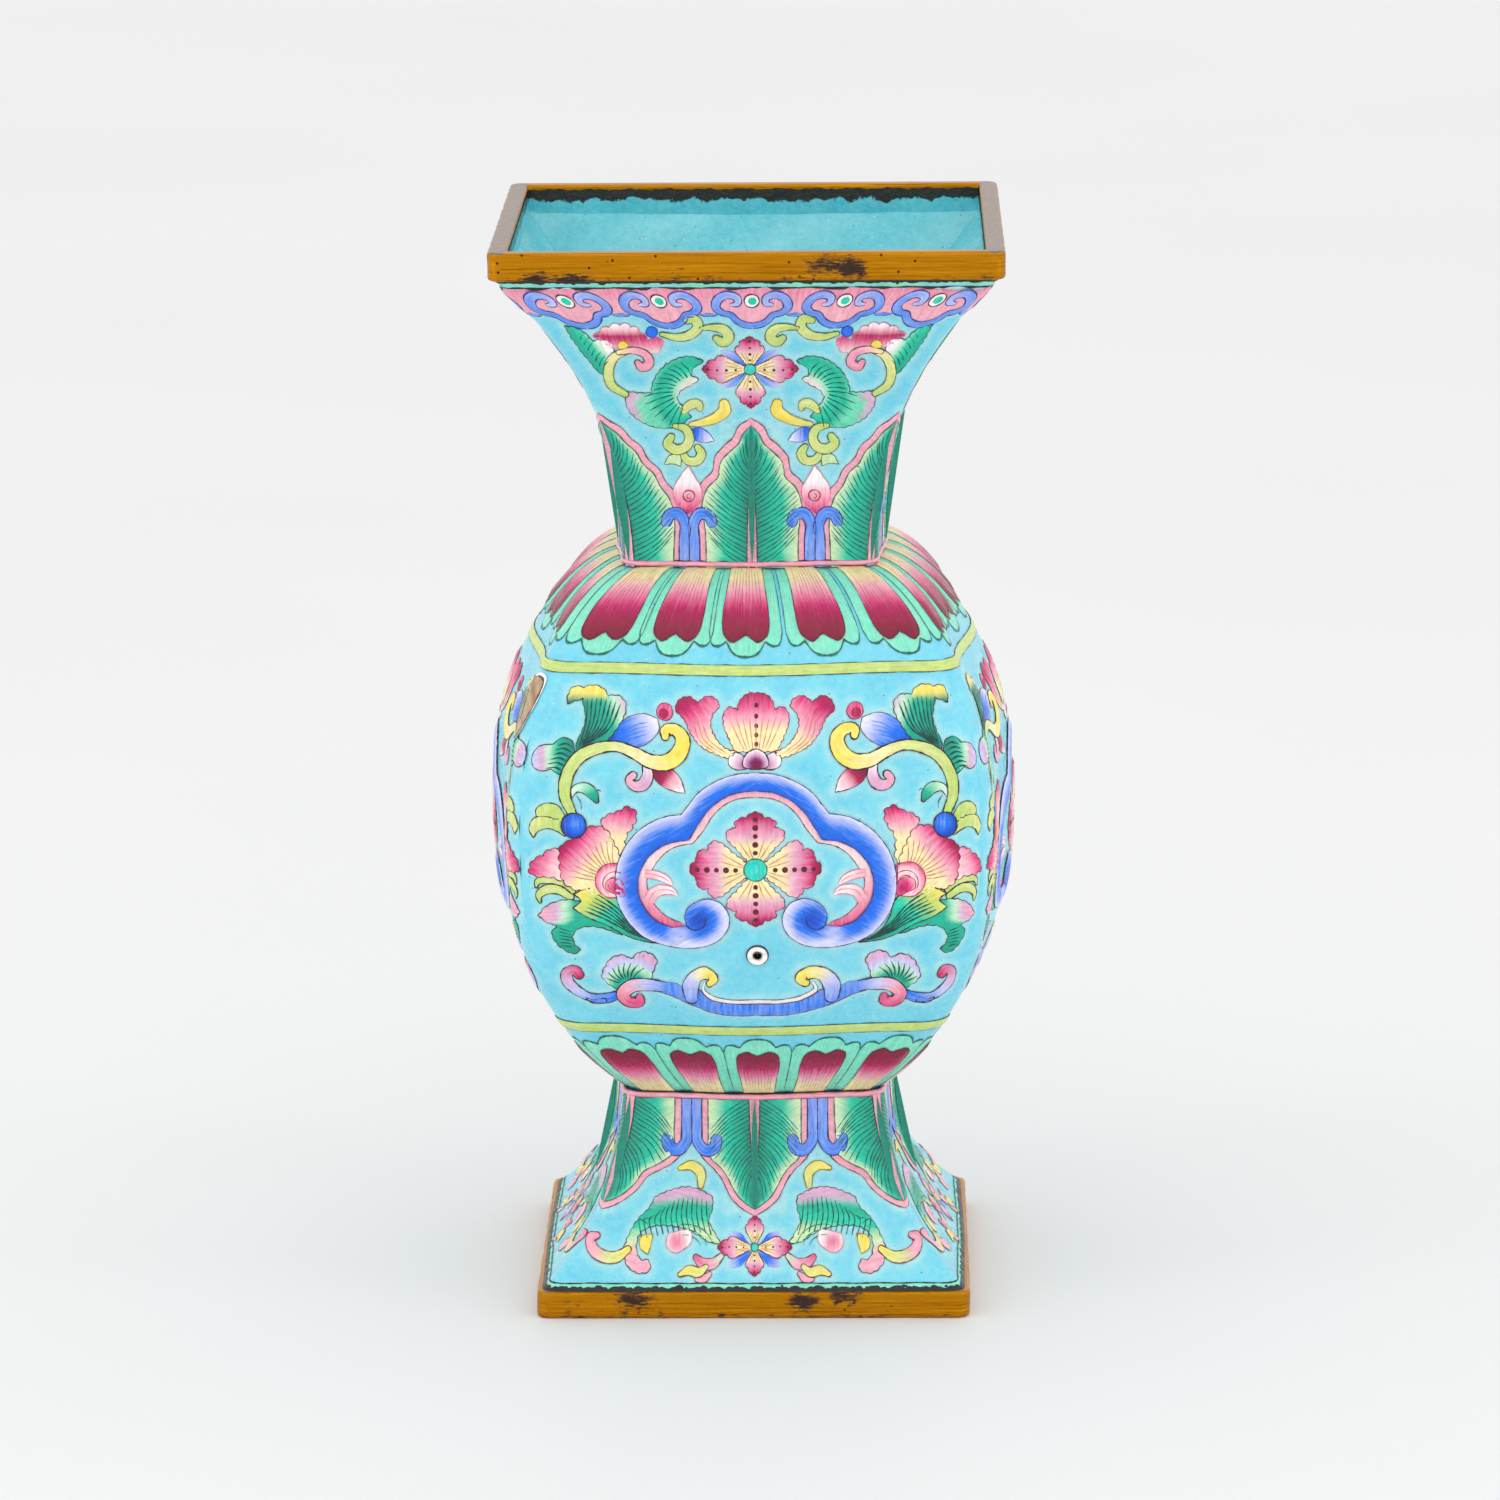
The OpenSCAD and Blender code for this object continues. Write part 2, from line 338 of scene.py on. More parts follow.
def outline_distance(points, outline):
    """Distance from each point to a closed outline."""
    a, b = outline, np.roll(outline, -1, axis=0)
    ab = b - a
    size = np.maximum((ab**2).sum(axis=1), 1e-12)
    rel = points[:, None] - a[None]
    t = np.clip((rel * ab[None]).sum(axis=2) / size[None], 0, 1)
    gap = rel - t[..., None] * ab[None]
    return np.sqrt((gap**2).sum(axis=2).min(axis=1))


def line_distance(points, line):
    """Distance from each point to an open line, through densely sampled points."""
    return np.sqrt(((points[:, None] - line[None]) ** 2).sum(axis=2).min(axis=1))


def ruffled(outline, size, depth):
    """A closed outline with small scallops of that size."""
    outline = np.asarray(outline, float)
    ahead, behind = np.roll(outline, -1, axis=0), np.roll(outline, 1, axis=0)
    dense = np.concatenate([outline[:, None], (outline[:, None] + ahead[:, None]) / 2], axis=1).reshape(-1, 2)
    ahead, behind = np.roll(dense, -1, axis=0), np.roll(dense, 1, axis=0)
    way = ahead - behind
    way /= np.maximum(np.linalg.norm(way, axis=1), 1e-9)[:, None]
    run = np.concatenate([[0], np.cumsum(np.linalg.norm(np.diff(dense, axis=0), axis=1))])
    area = np.sum(dense[:, 0] * ahead[:, 1] - ahead[:, 0] * dense[:, 1])
    outward = np.stack([way[:, 1], -way[:, 0]], axis=1) * (1 if area > 0 else -1)
    count = max(3, round(run[-1] / size))
    bump = np.abs(np.sin(math.pi * count * run / run[-1])) ** 0.7
    return dense + outward * (depth * (bump - 0.5))[:, None]


class Pen:
    """Draws in local millimetres, which place() maps to a face's (u, s)."""

    def __init__(self, face, place):
        self.face, self.place = face, place

    def turned_over(self, p):
        probe = self.place(np.array([p, p + (0.01, 0), p + (0, 0.01)]))
        a, b = probe[1] - probe[0], probe[2] - probe[0]
        return a[0] * b[1] - a[1] * b[0] < 0

    def add(self, sheet, p, lift, paint, flow, faces):
        if self.turned_over(p.mean(axis=0)):
            faces = [tuple(reversed(f)) for f in faces]
        sheet.add(self.place(p), lift, paint, flow, faces)

    def line(self, p, width=0.24, colour=INK, layer=0, taper=(0.35, 0.35), closed=False):
        """A brushed line with an uneven width."""
        p = np.asarray(p, float)
        if closed:
            p = np.concatenate([p, p[:1]])
        if len(p) < 2:
            return
        n = len(p)
        run = np.concatenate([[0], np.cumsum(np.linalg.norm(np.diff(p, axis=0), axis=1))])
        way = np.gradient(p, axis=0)
        way /= np.maximum(np.linalg.norm(way, axis=1), 1e-9)[:, None]
        phase = rng.uniform(0, 6.28, 2)
        uneven = 1 + 0.28 * np.sin(run * 1.7 + phase[0]) + 0.2 * np.sin(run * 4.1 + phase[1])
        ends = np.ones(n)
        if not closed:
            ends = np.minimum(np.interp(run, [0, 1.2], [taper[0], 1]),
                              np.interp(run[-1] - run, [0, 1.2], [taper[1], 1]))
        w = (width / 2 * uneven * ends)[:, None]
        aside = np.stack([-way[:, 1], way[:, 0]], axis=1) * w
        both = np.concatenate([p + aside, p - aside])
        faces = [(i, n + i, n + i + 1, i + 1) for i in range(n - 1)]
        flow = np.stack([np.tile(run, 2), np.repeat([0.0, 1.0], n), np.full(2 * n, rng.uniform(0, 50))],
                        axis=1)
        self.add(self.face.lines, both, LINE_LIFT + layer * LAYER, colour, flow, faces)

    def patch(self, outline, paint, layer=0, edge=INK, width=0.2, along=(0, 1), raised=True,
              spacing=0.6, ruffle=None):
        """A filled shape. paint(points, distance from the edge) gives the colours."""
        outline = np.asarray(outline, float)
        if ruffle is not None:
            outline = ruffled(outline, *ruffle)
        if raised:
            self.face.outlines.append(self.place(outline))
        lo, hi = outline.min(axis=0), outline.max(axis=0)
        xs = np.arange(lo[0] + spacing / 3, hi[0], spacing)
        ys = np.arange(lo[1] + spacing / 3, hi[1], spacing * 0.87)
        x, y = np.meshgrid(xs, ys)
        x = x + (np.arange(len(ys)) % 2)[:, None] * spacing / 2
        inner = np.stack([x.ravel(), y.ravel()], axis=1)
        if len(inner):
            inner = inner[inside_outline(inner[:, 0], inner[:, 1], outline)]
        if len(inner):
            inner = inner[outline_distance(inner, outline) > spacing * 0.45]
        points = np.concatenate([outline, inner]) if len(inner) else outline
        n = len(outline)
        edges = [(i, (i + 1) % n) for i in range(n)]
        made = geometry.delaunay_2d_cdt([Vector(q) for q in points], edges, [], 1, 1e-5)
        p = np.array([tuple(q) for q in made[0]])
        faces = [tuple(f) for f in made[2]]
        d = outline_distance(p, outline)
        axis = np.array(along, float)
        axis /= np.linalg.norm(axis)
        rel = p - p.mean(axis=0)
        flow = np.stack([rel @ axis, rel @ np.array([-axis[1], axis[0]]),
                         np.full(len(p), rng.uniform(0, 50))],
                        axis=1)
        colours = paint(p, d) if callable(paint) else paint
        self.add(self.face.fills, p, FILL_LIFT + layer * LAYER, colours, flow, faces)
        if edge is not None:
            self.line(outline, width, edge, layer, closed=True)

    def blade(self, spine, paint, layer=0, edge=INK, width=0.22, across=7, caps=(True, True),
              raised=True):
        """A scroll, stem or border of changing width. paint(along, across) gives the colours."""
        spine = through(spine, step=0.45)
        p, w = spine[:, :2], np.maximum(spine[:, 2], 0.02)
        way = np.gradient(p, axis=0)
        way /= np.maximum(np.linalg.norm(way, axis=1), 1e-9)[:, None]
        swing = np.radians([80, 60, 40, 20])
        if caps[0]:
            p = np.concatenate([p[0] - way[0] * (w[0] / 2 * np.sin(swing))[:, None], p])
            w = np.concatenate([w[0] * np.cos(swing), w])
            way = np.concatenate([np.repeat(way[:1], 4, axis=0), way])
        if caps[1]:
            back = swing[::-1]
            p = np.concatenate([p, p[-1] + way[-1] * (w[-1] / 2 * np.sin(back))[:, None]])
            w = np.concatenate([w, w[-1] * np.cos(back)])
            way = np.concatenate([way, np.repeat(way[-1:], 4, axis=0)])
        n = len(p)
        run = np.concatenate([[0], np.cumsum(np.linalg.norm(np.diff(p, axis=0), axis=1))])
        aside = np.stack([-way[:, 1], way[:, 0]], axis=1)
        v = np.linspace(-1, 1, across)
        grid = p[:, None] + aside[:, None] * (w[:, None] / 2 * v[None])[..., None]
        t = np.repeat(run / run[-1], across)
        vs = np.tile(v, n)
        faces = [(i * across + j, (i + 1) * across + j, (i + 1) * across + j + 1, i * across + j + 1)
                 for i in range(n - 1) for j in range(across - 1)]
        faces = [tuple(reversed(f)) for f in faces]
        flow = np.stack([np.repeat(run, across), vs * np.repeat(w, across) / 2,
                         np.full(n * across, rng.uniform(0, 50))], axis=1)
        colours = paint(t, vs) if callable(paint) else paint
        self.add(self.face.fills, grid.reshape(-1, 2), FILL_LIFT + layer * LAYER, colours, flow, faces)
        left, right = grid[:, -1], grid[:, 0]
        outline = np.concatenate([left, right[::-1]])
        if raised:
            self.face.outlines.append(self.place(outline))
        if edge is not None:
            closed = caps[0] and caps[1]
            if closed:
                self.line(outline, width, edge, layer, closed=True)
            else:
                self.line(left, width, edge, layer)
                self.line(right, width, edge, layer)

    def dot(self, x, z, r, colour, layer=1, edge=None, rz=None, raised=False):
        self.patch(circle(x, z, r, rz, n=12 if r < 0.6 else 24), colour, layer, edge, raised=raised,
                   spacing=max(r, 0.4))


# paints

def down(z_low, z_high, *stops):
    """Colours by height."""
    colours = ramp(*stops)
    return lambda p, d: colours((p[:, 1] - z_low) / (z_high - z_low))


def towards(a, b, *stops):
    """Colours along the line from a to b."""
    a, b = np.array(a, float), np.array(b, float)
    colours = ramp(*stops)
    return lambda p, d: colours(((p - a) @ (b - a)) / ((b - a) @ (b - a)))


def around(centre, radius, *stops):
    """Colours by the distance from a centre."""
    centre = np.array(centre, float)
    colours = ramp(*stops)
    return lambda p, d: colours(np.linalg.norm(p - centre, axis=1) / radius)


def along(*stops):
    """Colours along a blade."""
    colours = ramp(*stops)
    return lambda t, v: colours(t)


# ---------------------------------------------------------------- motifs on the body

def petal(pen, base, tip, width, paint, layer=1, notch=0.0, lobes=True, edge=CRIMSON):
    """An ogee petal from base to tip, with small lobes beside its tip."""
    base, tip = np.array(base, float), np.array(tip, float)
    way = tip - base
    aside = np.array([-way[1], way[0]]) / np.linalg.norm(way)
    half = [(0.0, 0.16), (0.16, 0.4), (0.34, 0.7), (0.48, 0.95), (0.6, 1.0), (0.68, 0.86)]
    half += [(0.7, 0.66), (0.8, 0.7), (0.88, 0.5), (0.9, 0.28), (0.96, 0.2)] if lobes else [(0.8, 0.7),
        (0.93, 0.3)]
    side = [base + way * t + aside * width * w for t, w in half]
    other = [base + way * t - aside * width * w for t, w in reversed(half)]
    n = len(side)
    corners = (0, 6, 9, n, 2 * n - 9, 2 * n - 6, 2 * n) if lobes else (0, n, 2 * n)
    outline = through(side + [tip - way * notch] + other, closed=True, corners=corners, step=0.3)
    pen.patch(outline, paint, layer, edge, 0.16, along=way, ruffle=(width * 0.28, width * 0.05))


def flower(pen, x, z, reach_x, reach_z, width, layer=1, dots=5, low_reach=None):
    """A four-petalled flower with dotted petals and a turquoise heart."""
    petals = [(1, 0, reach_x), (-1, 0, reach_x), (0, 1, reach_z), (0, -1, low_reach or reach_z)]
    for dx, dz, reach in petals:
        tip = (x + dx * reach, z + dz * reach)
        paint = towards((x, z), tip, (0.0, CREAM), (0.4, CREAM), (0.58, MAUVE * 0.5 + PINK * 0.5),
                        (0.76, ROSE * 0.8 + MAUVE * 0.2),
                        (0.92, MAGENTA), (1.0, CRIMSON))
        petal(pen, (x + dx * reach * 0.08, z + dz * reach * 0.08), tip, width, paint, layer)
        for vein in (-2, -1, 1, 2):
            a = np.array([x + dx * reach * 0.16 - dz * vein * width * 0.06,
                          z + dz * reach * 0.16 + dx * vein * width * 0.06])
            b = np.array([x + dx * reach * 0.52 - dz * vein * width * 0.3,
                          z + dz * reach * 0.52 + dx * vein * width * 0.3])
            pen.line(through([a, (a + b) / 2 + (b - a) * 0.02, b]), 0.13, srgb(196, 132, 92), layer + 1)
        for i in range(dots):
            t = 0.3 + 0.58 * i / max(dots - 1, 1)
            r = width * (0.085 + 0.02 * (i % 2))
            pen.dot(x + dx * reach * t, z + dz * reach * t, r, CRIMSON * 0.6, layer + 1)
    heart = width * 0.4
    pen.dot(x, z, heart, JADE * 0.8 + TURQUOISE * 0.2, layer + 2, srgb(30, 110, 90), raised=True)
    pen.dot(x - heart * 0.2, z + heart * 0.1, heart * 0.5, JADE * 0.6 + TURQUOISE * 0.4, layer + 3)


def cloud_frame(pen):
    """Half of the blue cloud-scroll frame, its pink inner band and its wisps."""
    outer = [(0, 99.3), (3.6, 98.9), (7, 97.6), (10, 95.5), (11.6, 93.4), (12.8, 91.9), (15.6, 91.4),
             (18.9, 89.8), (21.8, 87), (23.8, 83.2), (24.4, 79.5), (23.9, 75.8), (22.2, 72.4),
             (19.5, 69.7), (15.8, 68.3), (11.8, 67.9), (8.3, 68.5), (5.7, 70.3), (4.6, 72.8), (5.0, 74.9),
             (6.3, 76.4), (8.5, 77.0), (10.5, 76.3), (11.9, 75.0), (12.3, 73.4), (11.9, 72.0)]
    inner = [(14.5, 71.6), (17, 72.5), (19, 74.5), (20.2, 77), (20.4, 80), (19.2, 83.3), (17, 85.7),
             (14.4, 87.0), (11.5, 87.5), (10.0, 90.1), (8.3, 92.6), (6, 94.6), (3, 95.9), (0, 96.2)]
    top = through(outer, corners=(5,))
    low = through(inner, corners=(8,))
    blues = ramp((0, BLUE * 0.6 + NAVY * 0.4), (0.3, BLUE), (0.55, BLUE * 0.4 + PERIWINKLE * 0.6),
                 (0.78, PERIWINKLE * 0.4 + LAVENDER * 0.6),
                 (1, LAVENDER * 0.6 + WHITE * 0.4))
    turn = through([(12.3, 73.4), (11.9, 72.0), (10.4, 71.4), (8.9, 72.3), (8.6, 73.8)])

    def shade(p, d):
        out, inside = line_distance(p, top), line_distance(p, low)
        share = inside / np.maximum(inside + out, 0.01)
        spiral = np.linalg.norm(p - (9.8, 73.2), axis=1)
        head = smooth((7.5 - spiral) / 3.0)
        share = share * (1 - head) + head * np.clip(0.1
                                                    + spiral / 5.2 * (0.6 + 0.4 * smooth((3 - out) / 2)), 0,
                                                    1)
        colour = blues(share)
        dark = (0.75 * smooth((2.9 - spiral) / 2.4))[:, None]
        return colour * (1 - dark) + NAVY * dark

    pen.patch(np.concatenate([[(-0.4, 99.3)], top, low, [(-0.4, 96.2)]]), shade, 6, None, along=(1, -0.6))
    pen.line(top, 0.18, NAVY * 0.3 + INK * 0.4, 6)
    pen.line(low, 0.2, NAVY * 0.5 + INK * 0.5, 6)
    pen.line(turn, 0.2, NAVY * 0.4 + INK * 0.3, 7)
    pink_in = [(0, 95.1), (3, 94.8), (5.8, 93.4), (7.5, 91.6), (9, 89.2), (10.8, 86.9), (14, 86.1),
               (16.3, 84.4),
               (17.9, 82.1), (18.9, 80), (18.5, 77.4), (17.3, 75.2), (15.3, 73.4), (13.0, 72.5)]
    band = through(pink_in, corners=(5,))
    paint = down(72, 96, (0, ROSE), (0.25, PINK), (0.45, BLUSH), (1, PINK))
    pen.patch(np.concatenate([band, through([(12.3, 71.9)] + inner[:], corners=(9,))]), paint, 0, None)
    pen.line(band, 0.16, BROWN, 0)
    wisps = [[(19.2, 81.2, 1.4), (16.9, 80.9, 1.5), (15.4, 80.2, 1.2), (14.6, 79.5, 0.5)],
             [(18.6, 76.3, 1.9), (17.4, 78, 1.9), (15.9, 78.4, 1.7), (14.3, 78.1, 1.1), (13.7, 77.6, 0.4)]]
    for wisp in wisps:
        pen.blade(wisp, along((0, PINK), (0.5, BLUSH), (1, WHITE)), 1, ROSE, 0.16, caps=(False, True))
        arc = [(x, z + 0.1) for x, z, w in wisp]
        pen.line(through(arc), 0.12, ROSE, 2)


def lotus(pen, mirrored_pens):
    """The open lotus on top of the cloud frame."""
    fan = [(-3.4, 102.9), (-4.6, 105.4), (-5.4, 107.6), (-5.3, 109.2), (-4.4, 110.2), (-3.0, 109.7),
           (-2.7, 111),
           (-1.5, 112.2), (0.2, 112.5)]
    fan = fan + [(-x + 0.4, z) for x, z in reversed(fan[:-1])]
    outline = through(fan, closed=True, corners=(0, 5, 11, 16))
    paint = down(102.5, 112.5, (0, CREAM), (0.38, CREAM), (0.56, PINK), (0.76, ROSE), (1, MAGENTA))
    pen.patch(outline, paint, 1, CRIMSON, 0.16, ruffle=(1.1, 0.22))
    for i in range(-4, 5):
        pen.line(through([(0.2 + i * 0.5, 103.1), (0.2 + i * 0.85, 105.8), (0.2 + i * 1.12, 108.3)]), 0.12,
                 srgb(206, 128, 110), 2)
    for i, z in enumerate((110.5, 108.7, 107.1, 105.6, 104.1)):
        pen.dot(0.25, z, 0.34, CRIMSON * 0.6, 2, rz=0.42)
    for half in mirrored_pens:
        side = [(3.2, 102.8), (5.2, 103.4), (6.9, 105.2), (7.7, 107.5), (7.3, 109.1), (6.2, 110.4),
                (6.7, 111.4),
                (8.2, 111.9), (9.9, 110.8), (11.5, 111.8), (13.4, 110.8), (13.8, 109.5), (12.3, 108.2),
                (11.2, 106.0),
                (9.4, 103.8), (6.9, 102.5), (4.4, 101.9)]
        outline = through(side, closed=True, corners=(0, 8, 11))
        paint = towards((4, 102), (11.5, 111), (0, CREAM), (0.35, CREAM), (0.58, PINK), (0.8, ROSE),
                        (1, MAGENTA))
        half.patch(outline, paint, 1, CRIMSON, 0.16, along=(1, 1.3), ruffle=(1.1, 0.2))
        for i in range(3):
            half.line(through([(4.8 + i * 0.9, 102.5), (7.8 + i * 0.9, 104.7), (9.3 + i * 0.7, 108.3)]), 0.12,
                      srgb(206, 128, 110), 2)
        half.patch(through([(1.2, 100.2), (3, 99.8), (4.4, 100.6), (4.5, 101.8), (3.4, 102.7), (2.1, 102.2)],
                           closed=True), around((1.6, 100.5), 2.8, (0, PURPLE), (0.5, MAUVE), (1, WHITE)),
                   1, INK, 0.2)
    pen.patch(through([(-2.1, 100.5), (0.2, 99.9), (2.3, 100.5), (2.1, 102), (0.2, 103.3), (-1.8, 102)],
                      closed=True), around((0.2, 100.6), 2.6, (0, CRIMSON), (0.4, PURPLE), (0.7, MAUVE),
                                           (1, WHITE)),
              3, INK, 0.2)


def stems_and_leaves(pen):
    """Half of the scrolling stem with its fan leaves, buds and ball."""
    veins = srgb(2, 62, 58)
    leaf = [(32.4, 102.2), (29.6, 102.9), (27.2, 104.3), (25.4, 106.6), (24.2, 109), (24.2, 110.6),
            (25.5, 111.6),
            (27.1, 111.5), (28, 112.7), (29.8, 113.2), (31.3, 112.8), (32.7, 113), (33.8, 111.4),
            (33.9, 110.2),
            (32.9, 110.6), (31.4, 111.1), (31.1, 109.4), (30.9, 107.4), (31.7, 105.2), (32.5, 103.4)]
    outline = through(leaf, closed=True, corners=(0, 7, 10, 13, 15))
    greens = ramp((0, MAUVE), (0.22, PALE_GREEN), (0.42, GREEN), (1, DEEP_GREEN))

    def fan_leaf(p, d):
        across = (p[:, 0] - 24.2 + (111 - p[:, 1]) * 0.35) / 8.6
        body = greens(across)
        top = smooth((p[:, 1] - 110.4) / 1.8)[:, None] * (p[:, 0] > 27.2)[:, None]
        return body * (1 - top) + YELLOW * top

    pen.patch(outline, fan_leaf, 2, INK, 0.18, along=(-0.3, 1), ruffle=(1.5, 0.2))
    for i in range(8):
        t = i / 7
        root = (32.2 - 1.4 * (1 - t), 102.9 + 0.5 * (1 - t))
        end = (24.9 + 5.7 * t, 110.2 + 1.0 * math.sin(t * 2.2))
        bow = ((root[0] + end[0]) / 2 - 1.1 + 0.7 * t, (root[1] + end[1]) / 2 - 0.5)
        pen.line(through([root, bow, end]), 0.24 - 0.012 * i, veins, 3)
    low = [(32.8, 102.4), (33.3, 104), (34.8, 104.5), (36.4, 103.4), (38.5, 103.0), (39.8, 101.2),
           (39.6, 99.4),
           (38.3, 98.9), (36.8, 99.3), (35.6, 98.4), (34.7, 97.9), (34.2, 99.6)]
    paint = towards((33.5, 101), (39.6, 101), (0, DEEP_GREEN), (0.35, GREEN), (0.6, PALE_GREEN),
                    (0.75, MAUVE),
                    (1, LAVENDER))
    pen.patch(through(low, closed=True, corners=(0, 3, 8)), paint, 1, INK, 0.22, along=(1, -0.4))
    for i in range(6):
        t = i / 5
        a = (33.0 + 1.6 * t, 102.9 - 4.2 * t)
        b = (35.6 + 2.0 * t, 103.2 - 3.9 * t)
        pen.line(through([a, ((a[0] + b[0]) / 2, (a[1] + b[1]) / 2 + 0.5), b]), 0.26, veins, 2)
    bud = [(27.4, 103.9), (25.2, 106.9), (23, 108.4), (20.6, 108.7), (18.6, 108), (18.3, 106.4),
           (19.6, 104.5),
           (21.6, 103.3), (24.6, 103.4)]
    pen.patch(through(bud, closed=True, corners=(0, 4)), towards((26.6, 104), (18.4, 108), (0, NAVY),
        (0.2, BLUE),
              (0.5, PERIWINKLE), (0.75, LAVENDER), (1, WHITE)), 1, BROWN, 0.18, along=(-1, 0.5))
    for i in range(4):
        pen.line(through([(20 + 0.2 * i, 107.4 - i * 0.7), (22.4, 106.8 - i * 0.65),
                          (24.6, 105.4 - i * 0.4)]), 0.1,
                 BLUE, 2)
    pen.dot(17.3, 109.2, 1.4, ROSE, 1, CRIMSON, raised=True)
    pen.dot(17.5, 108.9, 0.85, MAGENTA, 2)

    hook = [(20.6, 100.4, 1.2), (20.3, 98.4, 1.9), (21.2, 96.8, 2.0), (22.6, 96.6, 1.7), (23.5, 97.6, 1.4),
            (22.8, 98.4, 1.3)]
    pen.blade(hook, along((0, WHITE), (0.4, MAUVE), (1, PINK)), 2, INK)
    lip = [(20.6, 99.8, 0.5), (20.9, 101.0, 0.9), (22.6, 102.1, 1.1), (25, 102.7, 1.0), (28, 102.7, 0.4)]
    pen.blade(lip, along((0, WHITE), (1, PALE_GREEN)), 1, BROWN, 0.16)
    bloom = [(19.7, 100.3), (18.2, 99.7), (15.9, 99.5), (14.6, 98), (13.8, 95.6), (16.3, 96.1),
             (18.6, 97.4), (19.5, 98.9)]
    pen.patch(through(bloom, closed=True, corners=(0, 4)), towards((18.4, 99.2), (14.2, 96), (0, CRIMSON),
        (0.3, MAGENTA),
              (0.55, PINK), (1, WHITE)), 1, BROWN, 0.18, along=(-1, -0.8))
    stem = [(33.4, 91.6, 1.5), (34.5, 94.6, 1.9), (34.1, 98.2, 2.1), (31.9, 101.4, 2.1), (28.6, 102.9, 1.9),
            (25.6, 103.2, 1.7), (22.6, 102.2, 2.0), (19.6, 100.8, 2.4), (16.9, 100.8, 2.7),
            (14.7, 102.6, 2.7),
            (14.2, 104.8, 2.4), (15.6, 106.3, 1.9), (17.2, 106.0, 1.8), (17.2, 105.1, 1.3)]
    pen.blade(stem, along((0, LIME), (0.45, STRAW), (0.62, CREAM), (0.75, YELLOW), (1, YELLOW)), 3, INK, 0.24)
    curl = [(33.8, 94.4, 0.8), (32.6, 95.9, 1.3), (30.9, 95.9, 1.9), (29.6, 94.6, 1.6), (29.2, 93.8, 0.8)]
    pen.blade(curl, along((0, WHITE), (0.4, PALE_GREEN), (0.75, GREEN), (1, DEEP_GREEN)), 1, INK, 0.18)
    pen.line(through([(32.6, 94.6), (31.9, 93.4), (31.8, 92.2)]), 0.2, BROWN, 1)
    pen.line(through([(29.5, 95.3), (28.7, 95.7), (28.4, 95.4)]), 0.2, INK, 1)
    upper = [(34.6, 91.2), (35.8, 92.9), (37.6, 93.3), (39.3, 91.9), (39.2, 90.8), (37.7, 91), (36.2, 90.5),
             (35.0, 89.9)]
    lower = [(35.1, 90.3), (37.3, 90.9), (39.4, 90.7), (40.5, 88.6), (39.8, 87.1), (38.9, 88.4), (37.3, 88.9),
             (35.8, 88.3), (34.6, 87.5)]
    for leaflet in (upper, lower):
        pen.patch(through(leaflet, closed=True, corners=(0, 4)), towards((35, 90), (40, 89.5), (0, LIME),
            (1, STRAW)),
                  1, INK, 0.22)
    pen.patch(circle(33.1, 89.4, 2.1, 2.2), around((32.6, 89.8), 2.4, (0, PERIWINKLE), (0.5, BLUE),
                                                   (1, NAVY)), 4, INK,
              0.26)


